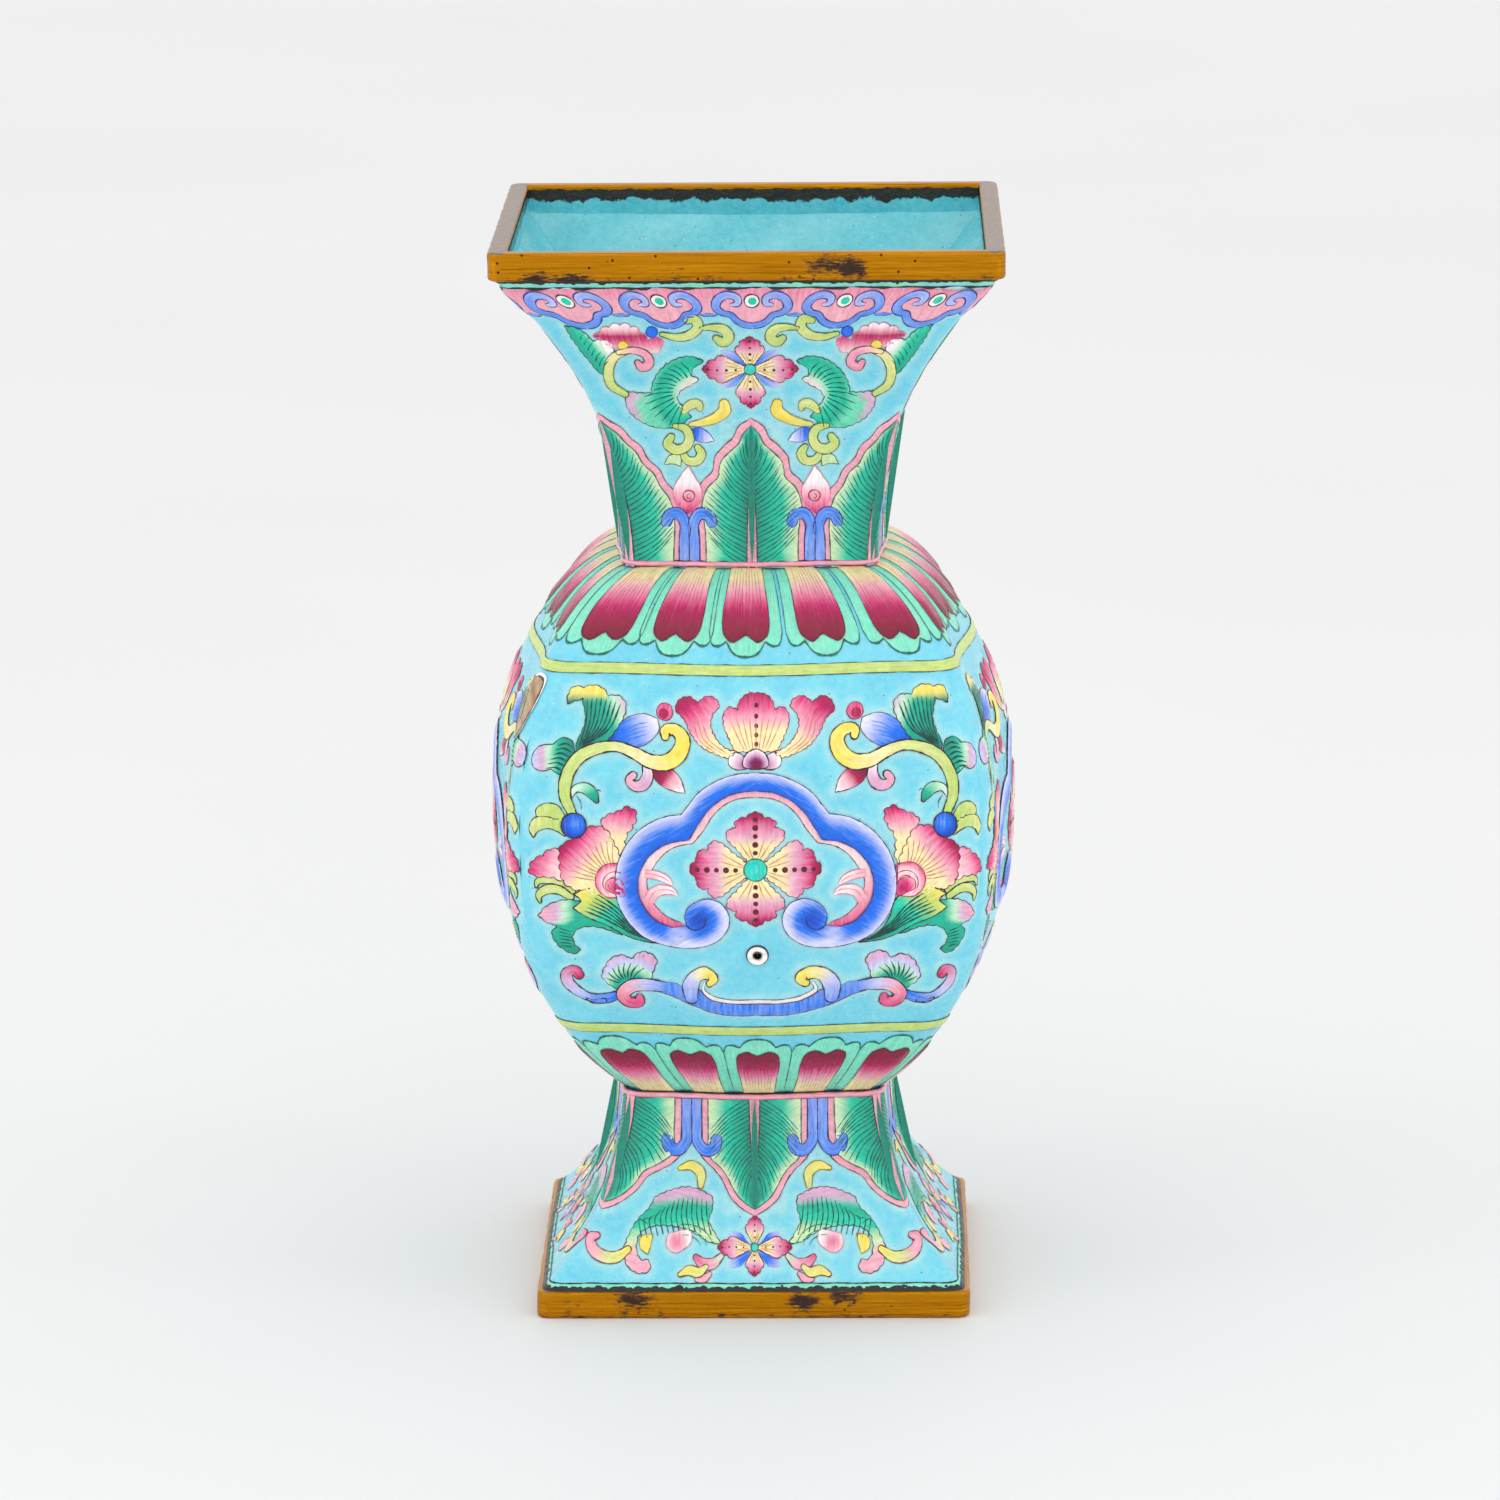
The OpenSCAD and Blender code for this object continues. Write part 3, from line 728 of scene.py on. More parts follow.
def half_peony(pen):
    """Half of a peony beside the cloud frame, with its whorl and the leaves under it."""
    edge = srgb(92, 4, 36)
    back = [(24.2, 83.4), (24.2, 87.6), (22.5, 90.6), (22.5, 92), (23.8, 92.9), (25.3, 92), (26.6, 91.6),
            (28.2, 90.5),
            (28.2, 88.9), (29.8, 86), (27, 81)]
    paint = towards((25.5, 82), (25, 92.8), (0, CREAM), (0.5, CREAM), (0.7, PINK), (0.88, ROSE), (1, MAGENTA))
    pen.patch(through(back, closed=True, corners=(0, 5, 8)), paint, 1, edge, 0.16, along=(-0.2, 1),
              ruffle=(1.7, 0.42))
    front = [(25, 79.6), (24.8, 82.4), (26.4, 86.6), (27.9, 89), (29.7, 89.3), (31.4, 88.7), (33.5, 86.9),
             (35.2, 85.8),
             (35.6, 83.6), (34.6, 79.0), (31.5, 77.6), (27, 77.2)]
    paint = towards((25.5, 80), (34.6, 87.6), (0, CREAM), (0.42, CREAM), (0.6, PINK), (0.76, ROSE),
                    (0.88, MAGENTA), (1, CRIMSON))
    pen.patch(through(front, closed=True, corners=(0, 8)), paint, 3, edge, 0.16, along=(1, 0.85),
              ruffle=(1.7, 0.42))
    last = [(33.6, 82.2), (35.3, 84.8), (36.9, 85.2), (38.2, 84.1), (39.4, 83.4), (40.3, 82.2),
            (40.5, 80.9), (39, 80.3),
            (36.9, 80.2), (34.2, 79.1), (32.2, 78.6)]
    paint = towards((32.5, 79.6), (40.5, 83.4), (0, CREAM), (0.35, BLUSH), (0.6, PINK), (0.8, ROSE),
                    (1, MAGENTA))
    pen.patch(through(last, closed=True, corners=(0, 3, 10)), paint, 2, edge, 0.16, along=(1, 0.3),
              ruffle=(1.7, 0.42))
    for i in range(11):
        a = math.radians(6 + i * 8.6)
        root = (26.4 + 2.7 * math.cos(a), 79.4 + 2.9 * math.sin(a))
        end = (26.6 + 7.4 * math.cos(a), 79.6 + 7.4 * math.sin(a))
        pen.line(through([root, ((root[0] + end[0]) / 2 + 0.15, (root[1] + end[1]) / 2), end]), 0.13,
                 srgb(196, 108, 104), 4)
    whorl = []
    for i in range(9):
        a = math.radians(-62 + i * 26)
        whorl.append((26.3 + 3.2 * math.cos(a), 79.7 + 3.2 * math.sin(a)))
    outline = [(24.5, 76.9)] + whorl + [(24.6, 82.2)]
    pen.patch(through(outline, closed=True, corners=(0, 10)),
              around((26, 79.2), 3.4, (0, PINK), (0.6, BLUSH), (0.9, PINK),
              (1, ROSE)), 5, MAGENTA, 0.2)
    for r in (1.3, 2.2):
        arc = [(26.0 + r * math.cos(a), 79.2 + r * math.sin(a)) for a in np.radians(np.arange(-60, 190, 20))]
        pen.line(through(arc), 0.14, MAGENTA, 6)
    pen.patch(through([(24.7, 76.9), (26.2, 77.4), (27.7, 78.3), (27.6, 79.6), (26, 80.2), (24.8, 79.6)],
                      closed=True),
              around((25.4, 78.2), 2.4, (0, MAGENTA), (0.7, ROSE), (1, PINK)), 6, MAGENTA, 0.14)
    hooks = [[(33.4, 77.6, 0.9), (35.4, 79.2, 1.2), (37.6, 79.7, 1.3), (39.2, 79.2, 1.0), (39.4, 78.4, 0.5)],
             [(33.8, 76.6, 1.2), (35.8, 77.9, 1.6), (38, 77.8, 1.6), (39, 76.7, 1.1), (38.8, 75.6, 0.4)]]
    for hook in hooks:
        pen.blade(hook, along((0, LIME), (0.6, STRAW), (1, LIME)), 1, INK, 0.2)
    veins = srgb(2, 62, 58)
    back_leaf = [(30.2, 74.8), (33.4, 76), (35.8, 75.8), (37.8, 74.8), (39.1, 73.1), (37.6, 71.9),
                 (36.1, 71.3), (36.9, 70),
                 (36.2, 68.2), (35, 66.9), (33.5, 66.1), (32.2, 66.7), (33.3, 67.9), (33.6, 69.4),
                 (32.6, 70.8),
                 (30.7, 71.3), (28.0, 70.9), (25, 69.9), (26.6, 73)]
    greens = ramp((0, GREEN), (0.45, GREEN), (0.62, PALE_GREEN), (0.76, MAUVE), (1, PINK))

    def drooping(p, d):
        tint = greens((p[:, 0] - 28) / 11 * smooth((p[:, 1] - 70.4) / 2.2) ** 0.6)
        deep = (0.55 * (1 - smooth((p[:, 1] - 66.5) / 3.4)))[:, None]
        return tint * (1 - deep) + DEEP_GREEN * deep

    pen.patch(through(back_leaf, closed=True, corners=(0, 4, 11)), drooping, 1, INK, 0.18, along=(1, -0.2),
              ruffle=(1.6, 0.2))
    for i in range(6):
        t = i / 5
        pen.line(through([(35.9 - 0.4 * t, 71 - 3.4 * t), (34.7 - 0.3 * t, 70.6 - 3.0 * t),
                          (33.7 - 0.1 * t, 70.2 - 2.9 * t)]),
                 0.18, veins, 2)
    sweep = [(17.8, 68.5), (21.3, 70.2), (23.3, 73.2), (24.3, 76.2), (26.2, 77.5), (28.8, 78.3), (31.6, 78),
             (33.2, 77.1), (32.0, 76), (33.4, 74.6), (31, 73), (27.6, 71.6), (24.8, 70), (21.2, 68.8)]
    mix = ramp((0, DEEP_GREEN), (0.35, GREEN), (0.62, JADE), (0.8, LIME), (1, YELLOW))
    pen.patch(through(sweep, closed=True, corners=(0, 7, 9)),
              lambda p, d: mix(((p - (18, 68)) @ (1.0, 1.1)) / 25), 3, INK, 0.22, along=(1, 0.6))
    for i in range(6):
        t = i / 5
        pen.line(through([(19.2 + t, 68.8 + 0.25 * t), (23.2 + 1.0 * t, 71.8 - 1.1 * t),
                          (26.4 + 1.6 * t, 75.4 - 2.6 * t),
                          (29.2 + 2.2 * t, 77.2 - 3.0 * t)]), 0.24, veins, 4)


def swag(mirrored_pens):
    """The lavender scroll under the cloud frame."""
    lows = [(0, 54.7), (5, 54.7), (10, 55.7), (13.9, 57.0), (16.4, 58.3), (19.1, 59.1)]
    highs = [(19.1, 61.0), (16, 60.9), (13.5, 59.3), (11.2, 59.6), (10.2, 58.8), (8, 57.7), (4, 57.0),
             (0, 57.0)]
    for half in mirrored_pens:
        band = np.concatenate([through(lows), through(highs, corners=(2,))])
        half.patch(band, down(54.4, 60, (0, PERIWINKLE), (0.35, BLUE * 0.4 + PERIWINKLE * 0.6),
                              (1, PERIWINKLE)), 1, None)
        half.line(through(lows), 0.2, BROWN, 1)
        half.line(through(highs[2:]), 0.18, BROWN, 1)
        half.blade([(0, 57.5, 0.7), (5, 57.5, 0.75), (8.2, 58.3, 0.8), (10.3, 60, 0.7), (9.9, 61, 0.5)],
                   WHITE * 0.9, 0, BROWN, 0.12, caps=(False, True))
        fan = [(20.2, 61.3), (19.6, 63.6), (19.1, 65.3), (20.2, 66.4), (22, 66.6), (23.5, 65.2), (25, 65.9),
               (27.3, 64.9),
               (28.2, 63.3), (28.6, 61.9), (27.5, 60.3), (25.6, 59.2), (24.4, 60.6)]
        tint = ramp((0, GREEN), (0.42, GREEN), (0.66, PALE_GREEN), (0.8, LAVENDER), (1, MAUVE))
        half.patch(through(fan, closed=True, corners=(0, 5, 8, 11)),
                   lambda p, d: tint(np.linalg.norm(p - (23.6, 59.6), axis=1) / 6.6), 1, INK, 0.18,
                   ruffle=(1.5, 0.25))
        for i in range(8):
            a = math.radians(18 + i * 15.5)
            root = (24.2 + 1.4 * math.cos(a), 60.2 + 1.3 * math.sin(a))
            end = (23.9 + 4.4 * math.cos(a), 60.2 + 4.5 * math.sin(a))
            half.line(through([root, ((root[0] + end[0]) / 2 + 0.3, (root[1] + end[1]) / 2 + 0.1), end]),
                      0.24,
                      srgb(2, 62, 58), 2)
        tail = [(25.4, 58.4, 1.4), (28, 57.4, 1.9), (30.8, 57.6, 1.5), (33, 59, 1.7), (34.5, 61, 1.9),
                (34.4, 62.5, 1.8),
                (33.2, 62.8, 1.8), (32.5, 61.9, 1.6)]
        half.blade(tail, along((0, BLUE), (0.3, PERIWINKLE), (0.55, LAVENDER), (0.75, MAUVE), (0.9, ROSE),
                               (1, MAGENTA)), 1,
                   INK, 0.2)
        half.blade([(28.5, 56.9, 1.1), (30.2, 56.7, 0.7), (31.2, 57.3, 0.3)], PERIWINKLE, 1, INK, 0.18)
        hook = [(17.6, 60.1, 1.9), (20.6, 60.4, 2.3), (23.6, 60.0, 2.5), (25.1, 58.2, 2.3), (24, 56.8, 2.0),
                (22.2, 57.2, 1.9),
                (22.2, 57.9, 1.3)]
        half.blade(hook, along((0, PERIWINKLE), (0.25, LAVENDER), (0.5, PINK), (0.75, ROSE), (1, ROSE)), 3,
                   INK, 0.22,
                   caps=(False, True))
        scroll = [(13.0, 58.2, 2.4), (13.1, 60.4, 3.0), (11.6, 62.6, 2.5), (9.2, 63.0, 2.3), (7.7, 61.9, 2.0),
                  (8.5, 61.1, 1.5)]
        half.blade(scroll, along((0, PERIWINKLE), (0.35, LAVENDER), (0.55, CREAM), (0.75, YELLOW),
                                 (1, YELLOW)), 2, INK,
                   0.22)


def lappets(face, base_z, hem_z, tip_z, count, shift=0.0):
    """A row of lotus lappets: mint borders with scalloped hems round heart-shaped petals.

    They run from base_z to hem_z. A petal's heart ends at tip_z."""
    section = face.section
    up = section.up
    for i in range(count):
        middle = -1 + (2 * i + 1) / count

        def place(p, middle=middle):
            s = up(base_z) + (up(hem_z) - up(base_z)) * p[:, 1] / 10
            u = (middle + p[:, 0] / 10 / count) * section.reach(s) + shift * (1 - abs(middle))
            return np.stack([u, s], axis=1)

        pen = face.pen(place)
        # Local units: 20 across the lappet, 10 from its base to its hem.
        hem = [(-10, 0), (-10, 8.0), (-9.2, 9.0), (-7.4, 9.3), (-5.2, 8.9), (-3.6, 9.8), (0, 10.3),
               (3.6, 9.8), (5.2, 8.9),
               (7.4, 9.3), (9.2, 9.0), (10, 8.0), (10, 0)]
        border = through(hem, corners=(1, 4, 8, 11), step=0.5)
        face_tip = 10 * (up(tip_z) - up(base_z)) / (up(hem_z) - up(base_z))
        pen.patch(border, MINT, 0, None, raised=False, spacing=1.0)
        pen.line(border[1:-1], 0.2, DEEP_GREEN * 0.5 + INK * 0.5, 2)
        k = face_tip
        heart = [(-6.2, 0), (-6.3, k * 0.4), (-6.7, k * 0.72), (-6.4, k * 0.9), (-3.8, k * 1.03),
                 (0, k * 0.95),
                 (3.8, k * 1.03), (6.4, k * 0.9), (6.7, k * 0.72), (6.3, k * 0.4), (6.2, 0)]
        outline = through(heart, corners=(5,), step=0.5)
        fade = ramp((0, CREAM * 0.9), (0.24, CREAM), (0.42, PINK), (0.56, ROSE), (0.7, MAGENTA),
                    (0.86, CRIMSON * 1.3),
                    (1, CRIMSON))
        pen.patch(outline, lambda p, d, fade=fade, k=k: fade(p[:, 1] / k), 2, None, spacing=0.7)
        pen.line(outline, 0.2, CRIMSON * 0.6, 3)
        for j in range(9):
            x = -4.4 + 1.1 * j
            top = k * rng.uniform(0.62, 0.82)
            pen.line(through([(x * 0.9, k * rng.uniform(0.02, 0.15)), (x, k * 0.4), (x * 1.1, top)]), 0.12,
                     srgb(190, 84, 104), 3)


def ring_band(face, s_low, s_high, paint, lift, layer=0, edge=INK, width=0.3, crown=0.0):
    """A band that runs right round the section, as a low bead."""
    section = face.section
    n, m = 90, 7
    v = np.linspace(0, 1, m)
    f = np.linspace(-1, 1, n)
    ff, vv = np.meshgrid(f, v, indexing="ij")
    s = s_low + (s_high - s_low) * vv.ravel()
    us = np.stack([ff.ravel() * section.reach(s), s], axis=1)
    faces = [(i * m + j, (i + 1) * m + j, (i + 1) * m + j + 1, i * m + j + 1)
             for i in range(n - 1) for j in range(m - 1)]
    swell = crown * np.sin(np.pi * vv.ravel()) ** 0.7
    flow = np.stack([us[:, 0], us[:, 1], np.zeros(len(us))], axis=1)
    face.fills.add(us, lift + layer * LAYER + swell, paint, flow, faces)
    if edge is not None:
        for s_edge in (s_low, s_high):
            line = np.stack([f * section.reach(s_edge), np.full(n, s_edge)], axis=1)
            wave = np.array([[0, 0.05 * math.sin(k * 0.7 + s_edge)] for k in range(n)])
            wave[0] = wave[-1] = 0
            face.pen(lambda p: p).line(line + wave, width, edge, layer + 1, taper=(1, 1))


def draw_body(face):
    pens = face.mirrored()
    up = face.section.up
    whole = face.pen(lambda p: np.stack([p[:, 0], up(p[:, 1])], axis=1))
    left = face.pen(lambda p: np.stack([1.7 * smooth((p[:, 0] - 7) / 6) - p[:, 0], up(p[:, 1])], axis=1))
    for pen, outside in zip(pens, (pens[0], left)):
        cloud_frame(pen)
        half_peony(outside)
        stems_and_leaves(outside)
    lotus(whole, pens)
    flower(whole, 0, 82.3, 11.4, 10.2, 5.0, layer=1)
    swag((pens[0], left))
    lappets(face, 132.0, 119.0, 121.4, 5, -1.6)
    lappets(face, 37.0, 49.0, 46.4, 5)
    for z in (116.2, 51.2):
        ring_band(face, float(up(z - 0.85)), float(up(z + 0.85)), STRAW * 0.35 + LIME * 0.65, EDGE_RISE / 2,
                  1, INK,
                  0.24, 0.12)


# ---------------------------------------------------------------- motifs on the neck and the foot

def half_leaf(pen, outer, inner, rib, base_z, tip_z, veins, rise):
    """Half of a plantain leaf with a pink border.

    outer and inner run from the leaf's base to its tip, on x = 0 at the middle of the leaf."""
    beyond = [(-5, tip_z), (-5, base_z)]
    for layer, edge, colour_line in ((1, outer, BROWN), (3, inner, DEEP_GREEN * 0.5)):
        line = through(edge, step=0.5)
        closed = np.concatenate([line, [(0, base_z)]])
        if layer == 1:
            paint = down(min(base_z, tip_z), max(base_z, tip_z), (0, PINK), (0.5, PINK * 0.95), (1, PINK))
            pen.face.outlines.append(pen.place(np.concatenate([line, through(beyond, step=0.8)])))
        else:
            half = lambda z, line=line: np.interp(z, *(np.sort(line[:, 1]), line[np.argsort(line[:, 1]), 0]))
            shades = ramp((0, DEEP_GREEN), (0.38, GREEN), (0.64, srgb(60, 200, 168)),
                          (0.88, srgb(190, 228, 190)),
                          (1, srgb(218, 230, 188)))

            def paint(p, d, half=half, shades=shades):
                share = np.clip(p[:, 0] / np.maximum(half(p[:, 1]), 0.3), 0, 1)
                tip = np.clip(1 - np.abs(p[:, 1] - tip_z) / 4, 0, 1)
                return shades(np.clip(share * 1.02 - 0.4 * tip + 0.02 * np.sin(p[:, 1] * 2.2), 0, 1))

        pen.patch(closed, paint, layer, None, raised=False, spacing=0.75, along=(1, 0.5))
        pen.line(line, 0.2, colour_line, layer)
    line = through(inner, step=0.5)
    order = np.argsort(line[:, 1])
    step = (tip_z - base_z) / veins
    for i in range(veins):
        z = base_z + step * (i + rng.uniform(-0.12, 0.12))
        start = max(0.15, rib * (1 - abs(z - base_z) / abs(tip_z - base_z)))
        end_z = z + rise * (0.75 + 0.25 * (1 - i / veins))
        end_x = float(np.interp(end_z, line[order, 1], line[order, 0])) - rng.uniform(0.25, 0.7)
        if (end_z - tip_z) * (1 if step > 0 else -1) > -0.5 or end_x < start + 0.4:
            continue
        middle = ((start + end_x) / 2 + 0.25, z + (end_z - z) * 0.42)
        pen.line(through([(start, z), middle, (end_x, end_z)]), 0.13, srgb(0, 84, 72), 4, taper=(1, 0.3))
    rise_to = lambda t: base_z + (tip_z - base_z) * t
    ribs = [(rib, base_z), (rib * 0.85, rise_to(0.3)), (rib * 0.45, rise_to(0.62)), (0.05, rise_to(0.85))]
    side = through(ribs)
    pen.patch(np.concatenate([side, side[::-1] * (-1, 1)]), PINK, 5, None, raised=False, spacing=0.35)
    pen.line(through(ribs), 0.16, BROWN * 0.5 + INK * 0.5, 5)
    pen.line(np.array([(0, rise_to(0.8)), (0, rise_to(0.98))]), 0.2, DEEP_GREEN * 0.5, 5)


def post(pen, sections, middle):
    """A blue post with two outward hooks, given for its right stem from its base."""
    for m in (1, -1):
        stem = [(middle + m * x, z, w) for x, z, w in sections]
        pen.blade(stem, along((0, LAVENDER * 0.3 + PERIWINKLE * 0.7), (0.5, PERIWINKLE),
                              (0.8, BLUE * 0.35 + PERIWINKLE * 0.65),
                              (1, PERIWINKLE)), 4, NAVY * 0.4 + INK * 0.6, 0.18,
                  caps=(False, True))


def feather(pen, outline, corners, root, strokes, shades, layer=1, vein_width=0.16):
    """A green acanthus lobe with strokes across it. Each stroke is three points."""
    pen.patch(through(outline, closed=True, corners=corners), shades, layer, srgb(10, 60, 56), 0.17,
              along=root,
              ruffle=(1.3, 0.2))
    for stroke in strokes:
        pen.line(through(stroke), vein_width, srgb(0, 70, 62), layer + 1, taper=(1, 0.3))


def ruyi_band(face):
    """Five ruyi heads under the mouth's frame, on a pink band."""
    section, up = face.section, face.section.up
    for i in range(5):
        middle = -1 + (2 * i + 1) / 5

        def place(p, middle=middle):
            s = up(p[:, 1])
            return np.stack([(middle + p[:, 0] / 7.7 / 5) * section.reach(s) + 0.5, s], axis=1)

        pen = face.pen(place)
        half = [(7.7, 178.3), (6.3, 178.2), (4.4, 177.8), (3.3, 176.9), (1.9, 175.9), (0, 175.5)]
        low = half + [(-x, z) for x, z in reversed(half[:-1])]
        edge = np.concatenate([[(7.7, 183.1)], through(low), [(-7.7, 183.1)]])
        pen.face.outlines.append(place(np.array(through([(-7.7, 183.1)] + low[::-1] + [(7.7, 183.1)],
                                                        corners=(0, 1, 11)))))
        pen.patch(edge, down(176, 183, (0, PINK), (0.55, PINK), (1, ROSE * 0.45 + PINK * 0.55)), 0, None,
                  raised=False)
        for m in (1, -1):
            scroll = [(3.8, 180.3, 0.6), (2.7, 180.5, 1.1), (2.6, 181.5, 1.3), (4.3, 182.2, 1.4),
                      (6.2, 181.3, 1.5),
                      (6.8, 179.7, 1.5), (5.7, 178.6, 1.4), (4.1, 178.2, 1.3), (3.2, 177.2, 1.3),
                      (1.7, 176.4, 1.4),
                      (0, 176.1, 1.4)]
            pen.blade([(m * x * 0.9, z - 0.15, w) for x, z, w in scroll],
                      along((0, LAVENDER), (0.25, PERIWINKLE * 0.6 + LAVENDER * 0.4), (0.6, PERIWINKLE),
                            (1, PERIWINKLE)), 1,
                      NAVY * 0.5 + INK * 0.5, 0.18, caps=(True, False), raised=False)
            pen.blade([(m * 5.9, 178.7, 0.8), (m * 6.8, 178.0, 0.8), (m * 7.75, 177.9, 0.8)], PERIWINKLE, 0,
                      INK, 0.14,
                      caps=(False, False), raised=False)
        pen.dot(0, 180.9, 1.25, WHITE, 2, INK)
        pen.dot(0.1, 180.9, 0.7, JADE, 3)


def draw_neck(face):
    pens = face.mirrored()
    section, up = face.section, face.section.up
    whole = face.pen(lambda p: np.stack([p[:, 0], up(p[:, 1])], axis=1))
    corners = [face.pen(lambda p, m=m: np.stack([m * (section.reach(up(p[:, 1])) - p[:, 0]), up(p[:, 1])],
                                                axis=1))
               for m in (1, -1)]
    ruyi_band(face)
    ring_band(face, float(up(183.15)), float(up(184.1)), MINT, 0.0, 1, INK, 0.2)
    for dx, dz in ((1, 1), (-1, 1), (1, -1), (-1, -1)):
        petal(whole, (dx * 0.8, 167.7 + dz * 0.6), (dx * 5.0, 167.7 + dz * 3.4), 1.1,
              towards((0, 167.7), (dx * 5.0, 167.7 + dz * 3.4), (0, BLUE), (0.5, PERIWINKLE),
                      (1, LAVENDER)), 0, lobes=False,
              edge=None)
    flower(whole, 0, 167.7, 8.3, 6.1, 2.5, 1, dots=4, low_reach=7.2)
    leaf_shades = ramp((0, WHITE), (0.2, PALE_GREEN), (0.45, JADE), (0.75, GREEN),
                       (1, JADE * 0.7 + PALE_GREEN * 0.3))
    for pen in pens:
        crescent = [(7.9, 169.2), (10.2, 170.0), (12.6, 169.6), (15.0, 168.0), (16.7, 165.4), (17.2, 163.2),
                    (19.4, 163.2),
                    (21.3, 163.5), (21.5, 161.2), (20.3, 159.1), (18.1, 157.5), (15.3, 156.8), (12.6, 157.3),
                    (10.4, 158.9), (11.7, 160.6), (12.8, 162.2), (12.0, 163.8), (10.4, 164.7), (8.9, 165.8),
                    (10.2, 166.6),
                    (9.9, 168.0)]

        def shades(p, d):
            inner = np.hypot(p[:, 0] - 9.6, p[:, 1] - 163.2)
            colour = leaf_shades((inner - 1.6) / 6.4)
            pink = (smooth((p[:, 0] - 17.6) / 3.2) * smooth((2.4 - d) / 2.0))[:, None]
            blush = (smooth((3.6 - inner) / 1.8))[:, None]
            colour = colour * (1 - pink) + MAUVE * pink
            return colour * (1 - blush) + BLUSH * blush

        strokes = []
        for i in range(17):
            a = math.radians(98 - i * 11.2)
            near, far = 3.4 + 0.15 * (i % 2), 6.8 if i < 8 else 7.6
            c = (10.0, 163.2)
            bend = math.radians(-13)
            strokes.append([(c[0] + near * math.cos(a), c[1] + near * math.sin(a) * 0.93),
                            (c[0] + (near + far) / 2 * math.cos(a + bend * 0.4),
                             c[1] + (near + far) / 2 * math.sin(a + bend * 0.4) * 0.93),
                            (c[0] + far * math.cos(a + bend) * (1.0 if i < 8 else 1.12),
                             c[1] + far * math.sin(a + bend) * 0.9)])
        outline = through(crescent, closed=True, corners=(0, 5, 7, 13, 18, 20))
        strokes = [s for s in strokes if inside_outline(np.array([q[0] for q in s]),
                                                        np.array([q[1] for q in s]), outline).sum() > 1]
        feather(pen, crescent, (0, 5, 7, 13, 18, 20), (1, -1), strokes, shades)
        pen.blade([(10.4, 157.5, 0.8), (8.2, 157.9, 1.4), (6.0, 158.8, 1.8), (4.5, 160.2, 2.1),
                   (4.6, 161.3, 1.7)],
                  along((0, STRAW), (0.5, YELLOW), (1, YELLOW)), 2, srgb(150, 110, 50), 0.16)
        pen.blade([(11.6, 160.0, 1.2), (10.2, 161.2, 1.7), (9.0, 161.2, 1.5), (8.8, 160.4, 1.0)], STRAW, 2,
                  srgb(120, 120, 60), 0.16)
        pen.patch(through([(10.8, 156.5), (9.0, 156.9), (7.3, 155.8), (6.4, 154.5), (8.4, 154.2),
                           (10.3, 155.0)], closed=True,
                          corners=(0, 3)), towards((10.8, 156), (6.6, 154.7), (0, NAVY), (0.3, BLUE),
                                                   (0.7, LAVENDER),
                                                   (1, WHITE)), 1, NAVY, 0.14)
        sprig = along((0, LIME), (0.5, STRAW), (1, LIME))
        pen.blade([(13.2, 157.2, 0.9), (11.4, 156.7, 1.5), (10.7, 155.0, 1.6), (11.4, 153.4, 1.7),
                   (13.2, 152.9, 1.8),
                   (14.5, 154.0, 1.7), (13.9, 155.2, 1.3)], sprig, 2, srgb(70, 90, 50), 0.18)
        pen.blade([(12.2, 152.6, 1.1), (11.0, 150.9, 1.5), (9.4, 150.9, 1.6), (8.7, 152.2, 1.6),
                   (9.3, 153.3, 1.2)], sprig, 1,
                  srgb(70, 90, 50), 0.18)
        pen.patch(through([(12.5, 152.3), (14.3, 151.7), (15.2, 150.1), (13.6, 150.3), (12.3, 149.8),
                           (12.2, 151.2)], closed=True,
                          corners=(0, 2, 4)), STRAW * 0.5 + PALE_GREEN * 0.5, 1, srgb(70, 90, 50), 0.16)
        bud = [(11.0, 150.0), (12.5, 147.9), (13.6, 145.8), (13.3, 143.4), (11.4, 140.9), (9.0, 143.6),
               (8.7, 145.8), (9.7, 147.6)]
        pen.patch(through(bud, closed=True, corners=(0, 4)), down(141, 149.6, (0, MAGENTA), (0.2, ROSE),
            (0.45, PINK), (0.72, WHITE),
                  (1, WHITE)), 3, ROSE, 0.18)
        pen.line(circle(10.9, 144.7, 1.0), 0.2, MAGENTA, 5, closed=True)
        pen.line(through([(10.5, 144.3), (11.1, 144.2), (11.2, 144.9), (10.8, 145.1)]), 0.18, MAGENTA, 5)
        post(pen, [(0.9, 131.8, 1.75), (0.9, 136.6, 1.75), (0.8, 139.8, 1.8), (1.9, 141.5, 2.0),
                   (3.5, 141.1, 2.0),
                   (4.0, 139.9, 1.8)], 10.95)
        pen.blade([(15.1, 174.3, 0.8), (12.5, 173.7, 1.4), (10.0, 174.3, 1.7), (8.8, 175.8, 1.8),
                   (9.5, 177.2, 1.7),
                   (10.7, 176.9, 1.3)], sprig, 1, srgb(70, 80, 60), 0.18)
        pen.blade([(8.3, 175.4, 0.7), (6.3, 175.6, 1.3), (4.2, 175.0, 1.8), (3.6, 173.6, 1.9),
                   (4.7, 172.8, 1.8), (5.7, 173.5, 1.3)],
                  sprig, 1, srgb(70, 80, 60), 0.18)
        pen.dot(16.8, 174.7, 0.95, BLUE, 2, NAVY)
        bloom = [(15.0, 171.9), (15.6, 173.7), (17.3, 173.1), (18.9, 174.8), (20.5, 175.9), (22.8, 176.1),
                 (25.2, 175.2), (26.6, 174.0),
                 (24.6, 172.5), (21.8, 171.6), (19.4, 171.3), (17.0, 170.5)]
